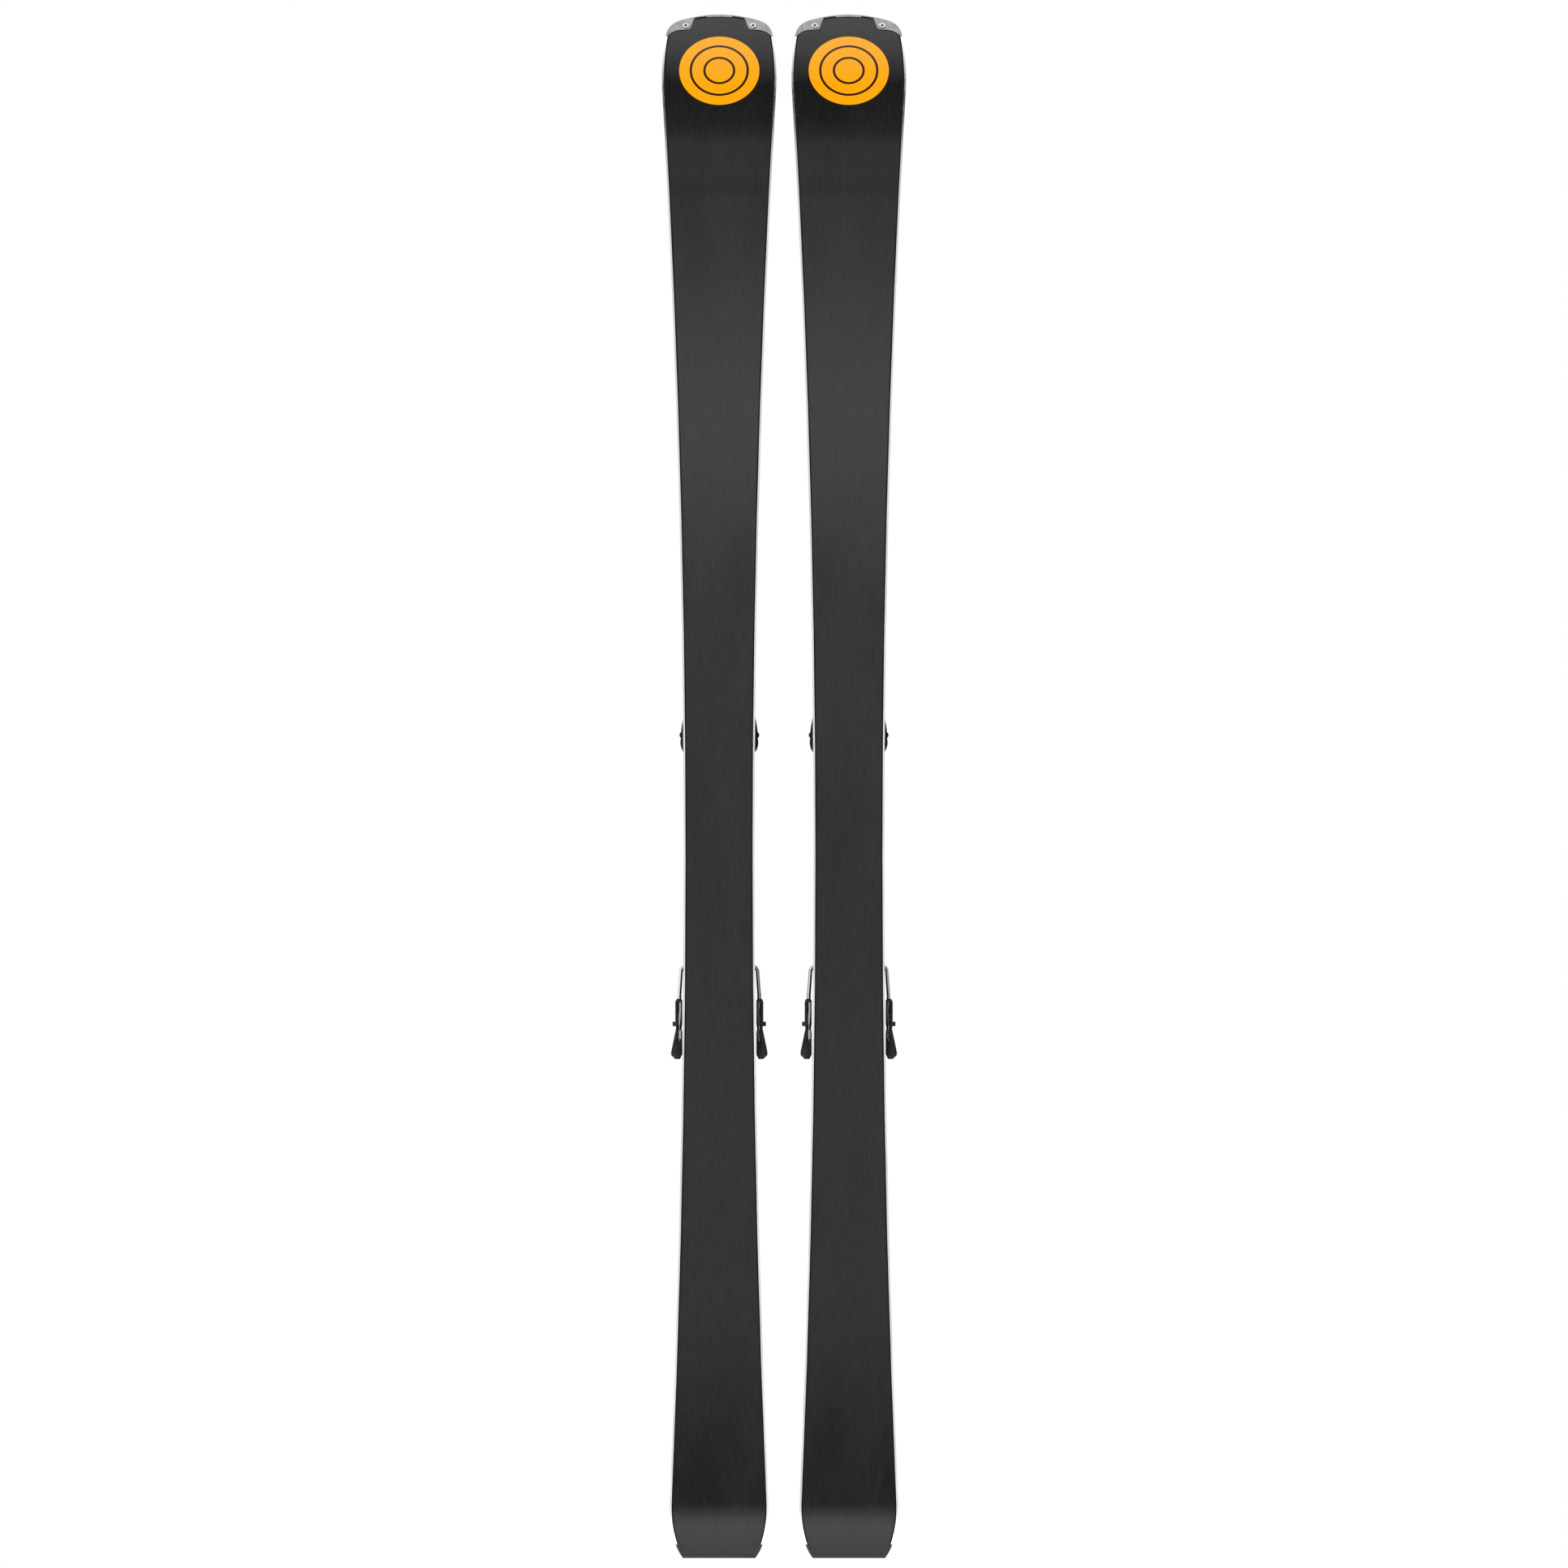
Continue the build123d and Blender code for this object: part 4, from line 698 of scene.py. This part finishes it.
def half_width(y):
    """From the ski's centre line to its side."""
    if y >= waist_y:
        sidecut, side, round_y = front_sidecut_radius, tip_side_radius, front_round_y
    else:
        sidecut, side, round_y = rear_sidecut_radius, tail_side_radius, rear_round_y
    run = abs(y - waist_y)
    round_run = abs(round_y - waist_y)
    if run <= round_run:
        return waist_half_width + sidecut - math.sqrt(sidecut**2 - run**2)
    rounded = waist_half_width + sidecut - math.sqrt(sidecut**2 - round_run**2)
    slope = math.asin(round_run / sidecut)
    past = run - round_run - side * math.sin(slope)
    return rounded - side * math.cos(slope) + math.sqrt(side**2 - past**2)


def bent_copy(node):
    """A layer of the base with smooth normals along its underside; it stands for the node."""
    side, name = node.split("_", 1)
    mesh = nodes[node].data.copy()
    cut = bmesh.new()
    cut.from_mesh(mesh)
    for rise_y in (tip_rise_y, tail_rise_y):
        for step in range(-lean_cuts, lean_cuts + 1):
            place = (0, rise_y + lean_blend * step / lean_cuts, 0)
            parts = cut.verts[:] + cut.edges[:] + cut.faces[:]
            bmesh.ops.bisect_plane(cut, geom=parts, plane_co=place, plane_no=(0, 1, 0))
    cut.to_mesh(mesh)
    cut.free()
    normals = [corner.vector.copy() for corner in mesh.corner_normals]
    for polygon in mesh.polygons:
        if polygon.normal.z < -0.5:
            polygon.use_smooth = True
            for corner in polygon.loop_indices:
                lean = base_lean(mesh.vertices[mesh.loops[corner].vertex_index].co.y)
                normals[corner] = Vector((0, math.sin(lean), -math.cos(lean)))
    mesh.normals_split_custom_set(normals)
    return add_piece(name + "_bent", mesh, slots[node], side, "ski", [name])


border_width = 1.6 * MM
border_proud = 0.05 * MM
border_step = 5.0 * MM


def base_border(side):
    """The dark joint between the base and the steel edges."""
    count = round((tip_guard_y - tail_corner_y) / border_step)
    rows = [tail_corner_y + (tip_guard_y - tail_corner_y) * k / count for k in range(count + 1)]
    for number, sign in enumerate((-1, 1)):
        mesh = bpy.data.meshes.new("border")
        tool = bmesh.new()
        rings = []
        for y in rows:
            outer = half_width(y) - edge_width
            corners = [(outer - border_width, -1), (outer, -1), (outer, 1), (outer - border_width, 1)]
            places = [(ski_x[side] + sign * x, y, base_height(y) + up * border_proud) for x, up in corners]
            rings.append([tool.verts.new(place) for place in places])
        tool.faces.new(rings[0])
        tool.faces.new(rings[-1])
        for first, second in zip(rings, rings[1:]):
            for k in range(4):
                following = (k + 1) % 4
                tool.faces.new((first[k], first[following], second[following], second[k]))
        bmesh.ops.recalc_face_normals(tool, faces=tool.faces)
        tool.to_mesh(mesh)
        tool.free()
        add_piece(f"base_border_{number}", mesh, "border_black", side, "ski")


# ---------------------------------------------------------------- tip
seam_radius = 0.6 * MM
lip_seam_radius = 0.5 * MM
seam_corners = 8
plate_inner_x = 28.0  # in mm
plate_nose = 3.5  # in mm, from the tip back
# the plate's edge in mm, measured outwards from its inner side and forwards from where the guard starts
plate_edge = [
    (3.6, 10.2), (4.6, 8.6), (6.0, 7.6), (8.4, 7.2), (16.0, 6.8),
    (19.9, 5.9), (23.5, 4.6), (26.8, 2.6), (29.8, 0.2),
]
lip_depth = 2.5 * MM
lip_half_width = 26.5 * MM
lip_pieces = 32


def on_base(side, sign, x, y):
    """A point on the base, x from the centre line."""
    return Vector((ski_x[side] + sign * x, y, base_height(y)))


def filled_in(corners, pieces=4):
    """More points between each two corners."""
    points = []
    for first, second in zip(corners, corners[1:]):
        points += [first.lerp(second, k / pieces) for k in range(pieces)]
    return points + [corners[-1]]


def tip_seams(side):
    """Dark beads where the tip plates and the front lip meet the base."""
    for number, sign in enumerate((-1, 1)):
        nose = (plate_inner_x * MM, tip_y - plate_nose * MM)
        edge = [nose] + [((plate_inner_x + x) * MM, tip_guard_y + y * MM) for x, y in plate_edge]
        corners = [on_base(side, sign, x, y) for x, y in edge]
        beads = rod(filled_in(corners), seam_radius, seam_corners)
        add_piece(f"tip_seam_{number}", beads, "seam_brown", side, "ski")
    lip = []
    for k in range(lip_pieces + 1):
        x = lip_half_width * (2 * k / lip_pieces - 1)
        y = tip_y - nose_radius + math.sqrt((nose_radius - lip_depth) ** 2 - x**2)
        lip.append(on_base(side, 1, x, y))
    add_piece("lip_seam", rod(lip, lip_seam_radius, seam_corners), "seam_brown", side, "ski")


screw_x = 37.5 * MM
screw_y = tip_y - 14.0 * MM
screw_face = 1.95 * MM  # from the base out to the face of the screw's head
cross_length = 4.4 * MM
cross_width = 1.0 * MM
cross_depth = 0.1 * MM
cross_proud = 0.05 * MM
cross_turns = (30, 120)


def guard_screw_painted_recess_shade(side):
    """The dark cross in each guard screw's head: painted shade standing in for the shadow in its cross
    recess.
    """
    lean = math.asin((screw_y - tip_rise_y) / tip_rise_radius)
    out = Vector((0, math.sin(lean), -math.cos(lean)))
    bars = []
    for sign in (-1, 1):
        for turn in cross_turns:
            outline = rounded_box(0, 0, cross_length, cross_width, 0.45 * cross_width, 3)
            bar = slab(outline, -cross_depth, cross_proud)
            spin = Matrix.Rotation(math.radians(turn), 4, "Z")
            tilt = out.to_track_quat("Z", "Y").to_matrix().to_4x4()
            place = Matrix.Translation(on_base(side, sign, screw_x, screw_y) + out * screw_face)
            bar.transform(place @ tilt @ spin)
            bars.append(bar)
    # the bars are painted shade for the screw recesses, drawn in the seams' dark brown
    add_piece("guard_screw_painted_recess_shade", join_meshes(bars), "seam_brown", side, "ski")


# ---------------------------------------------------------------- brake shoes
# heights, and outlines as (from the centre line, along the ski), in mm
insert_bottom = 28.3
insert_top = 30.5
insert_tilt = 0.36  # how much the inlays' faces rise towards the outside
insert_rounding = 0.25
blade_outline = [
    (42.7, -240.0), (44.3, -240.0), (44.7, -252.0), (46.2, -261.0),
    (45.1, -268.5), (43.9, -268.5), (43.0, -261.0), (42.6, -252.0),
]
block_outline = [(42.4, -273.6), (46.7, -273.6), (46.9, -283.6), (42.4, -283.6)]
rib_lines = [
    ((43.6, -287.0), (43.2, -303.5)), ((46.8, -287.0), (47.2, -304.0)), ((49.4, -284.0), (51.0, -300.0)),
]
rib_height = 28.25
rib_radius = 0.45
rib_corners = 8


def shoe_inserts(side):
    """Grey inlays in the brake shoes' lower faces, and the ribs behind them."""
    for number, sign in enumerate((-1, 1)):
        def across(x):
            return ski_x[side] + sign * x * MM

        inlays = []
        for outline in (blade_outline, block_outline):
            points = [(across(x), y * MM) for x, y in outline]
            inlay = slab(points, insert_bottom * MM, insert_top * MM)
            inner = min(x for x, _ in outline)
            for corner in inlay.vertices:
                if corner.co.z < (insert_bottom + insert_top) / 2 * MM:
                    corner.co.z += (sign * (corner.co.x - ski_x[side]) - inner * MM) * insert_tilt
            inlays.append(inlay)
        piece = add_piece(f"shoe_inlay_{number}", join_meshes(inlays), "inlay_grey", side, "brake")
        soften(piece, insert_rounding * MM)
        ribs = []
        for ends in rib_lines:
            line = [Vector((across(x), y * MM, rib_height * MM)) for x, y in ends]
            ribs.append(rod(line, rib_radius * MM, rib_corners))
        add_piece(f"shoe_ribs_{number}", join_meshes(ribs), "brake_black", side, "brake")


# ---------------------------------------------------------------- binding details
# plates on a housing, in mm: width, length, corner radius, and their bottom and top over the housing's top
toe_crown = (40, 22, 6, -0.6, 0.5)
toe_window = (24, 9, 2.5, 0.3, 0.8)
heel_crown = (34, 18, 4, -0.4, 0.5)
crown_rounding = 0.3 * MM
window_rounding = 0.2 * MM
toe_crown_y = 33 * MM  # from the toe housing's rear end forwards
heel_crown_y = 18 * MM  # from the heel housing's front end backwards
# rows of strips across the ski, in mm: the first one's place from the piece's rear end, step and count, then
# width, length and corner radius, and their bottom and top over the piece's top
pad_row = (8, 10, 4, 50, 5.5, 2.2, -0.2, 0.4)
lever_row = (34, 7, 5, 40, 3, 1.4, -0.3, 0.7)
pedal_row = (5, 5.5, 3, 36, 2.4, 1.1, -0.3, 0.5)
pad_rounding = 0.25 * MM
lever_rounding = 0.4 * MM
pedal_rounding = 0.3 * MM
# release scales
scale_texts = ("4", "8", "12")
scale_size = 4.2 * MM
toe_scale_step = 7 * MM
toe_scale_height = 0.75 * MM
heel_scale_step = 9 * MM
heel_scale_height = 0.55 * MM
# boot-length scale on the rail
first_mark_y = -140 * MM
mark_step = 5 * MM
mark_count = 24
marks_per_numeral = 5
mark_outer_x = 24 * MM
long_mark = 6 * MM
short_mark = 3.5 * MM
mark_width = 0.6 * MM
mark_corner = 0.25 * MM
mark_depth = 0.1 * MM
mark_height = 0.15 * MM
first_boot_length = 280
length_per_mark = 2
rail_numeral_size = 5 * MM
rail_numeral_height = 0.05 * MM


def plate(x, y, height, shape):
    """A plate with round corners; height is the top of the housing it lies on."""
    width, length, radius, bottom, top = (size * MM for size in shape)
    return slab(rounded_box(x, y, width, length, radius), height + bottom, height + top)


def cross_strips(x, low, high, row):
    """A row of strips across the ski, on a piece whose box goes from low to high."""
    first, step, count, *shape = row
    return join_meshes([plate(x, low.y + (first + k * step) * MM, high.z, shape) for k in range(count)])


def release_scale(x, y, height, step):
    """The numerals of a release scale, side by side."""
    marks = []
    for k, text in enumerate(scale_texts):
        marks.append(numeral(text, scale_size, (x + (k - 1) * step, y, height)))
    return join_meshes(marks)


def toe_details(side):
    """Crown inlay, release scale and sole-plate strips of the toe piece."""
    x = ski_x[side]
    low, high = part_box(f"{side}_toe_housing")
    y, top = low.y + toe_crown_y, high.z
    crown = plate(x, y, top, toe_crown)
    soften(add_piece("toe_crown", crown, "lever_orange", side, "ski"), crown_rounding)
    window = plate(x, y, top, toe_window)
    soften(add_piece("toe_window", window, "window_clear", side, "ski"), window_rounding)
    marks = release_scale(x, y, top + toe_scale_height, toe_scale_step)
    add_piece("toe_scale", marks, "mark_white", side, "ski")
    low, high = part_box(f"{side}_toe_pad")
    strips = cross_strips(x, low, high, pad_row)
    soften(add_piece("toe_pad_strips", strips, "pad_plastic", side, "toe_pad"), pad_rounding)


def heel_details(side):
    """Lever grip, crown inlay and release scale of the heel piece, and the brake pedal's ribs."""
    x = ski_x[side]
    low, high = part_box(f"{side}_heel_lever")
    ribs = cross_strips(x, low, high, lever_row)
    soften(add_piece("lever_ribs", ribs, "binding_black", side, "lever"), lever_rounding)
    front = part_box(f"{side}_heel_housing")[1]
    y, top = front.y - heel_crown_y, front.z
    crown = plate(x, y, top, heel_crown)
    soften(add_piece("heel_crown", crown, "lever_orange", side, "heel"), crown_rounding)
    marks = release_scale(x, y, top + heel_scale_height, heel_scale_step)
    add_piece("heel_scale", marks, "mark_white", side, "heel")
    low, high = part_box(f"{side}_brake_pedal")
    ribs = cross_strips(x, low, high, pedal_row)
    soften(add_piece("pedal_ribs", ribs, "brake_black", side, "brake"), pedal_rounding)


def rail_details(side):
    """Boot-length marks and numerals along the rail, in front of the heel carriage's travel."""
    x = ski_x[side]
    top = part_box(f"{side}_binding_rail")[1].z
    marks = []
    for k in range(mark_count):
        length = short_mark if k % marks_per_numeral else long_mark
        mark_x, mark_y = x + mark_outer_x - length / 2, first_mark_y + k * mark_step
        outline = rounded_box(mark_x, mark_y, length, mark_width, mark_corner, 2)
        marks.append(slab(outline, top - mark_depth, top + mark_height))
    for k in range(0, mark_count, marks_per_numeral):
        text = str(first_boot_length + k * length_per_mark)
        place = (x, first_mark_y + k * mark_step, top + rail_numeral_height)
        marks.append(numeral(text, rail_numeral_size, place))
    add_piece("rail_scale", join_meshes(marks), "mark_white", side, "ski")


# ---------------------------------------------------------------- the whole scene
make_world()
make_floor()
slots = {part["node"]: part["material_slot"] for part in frame["record"]["subparts"]}
dress_cad_nodes()
add_lamp("lamp_front", (1.6, 2.2, 3.0), 2.0, 60)
add_lamp("lamp_rear", (-2.0, -2.0, 2.6), 2.0, 45)
add_lamp("lamp_below", (0.8, 1.0, -4.0), 2.5, 66)
for side in sides:
    wear_edges(side)
    bent_copy(f"{side}_steel_edges")
    running_base = bent_copy(f"{side}_base_sheet")
    running_base.visible_diffuse = False  # keeps the disc's colour off the floor
    base_border(side)
    tip_seams(side)
    guard_screw_painted_recess_shade(side)
    shoe_inserts(side)
    toe_details(side)
    heel_details(side)
    rail_details(side)
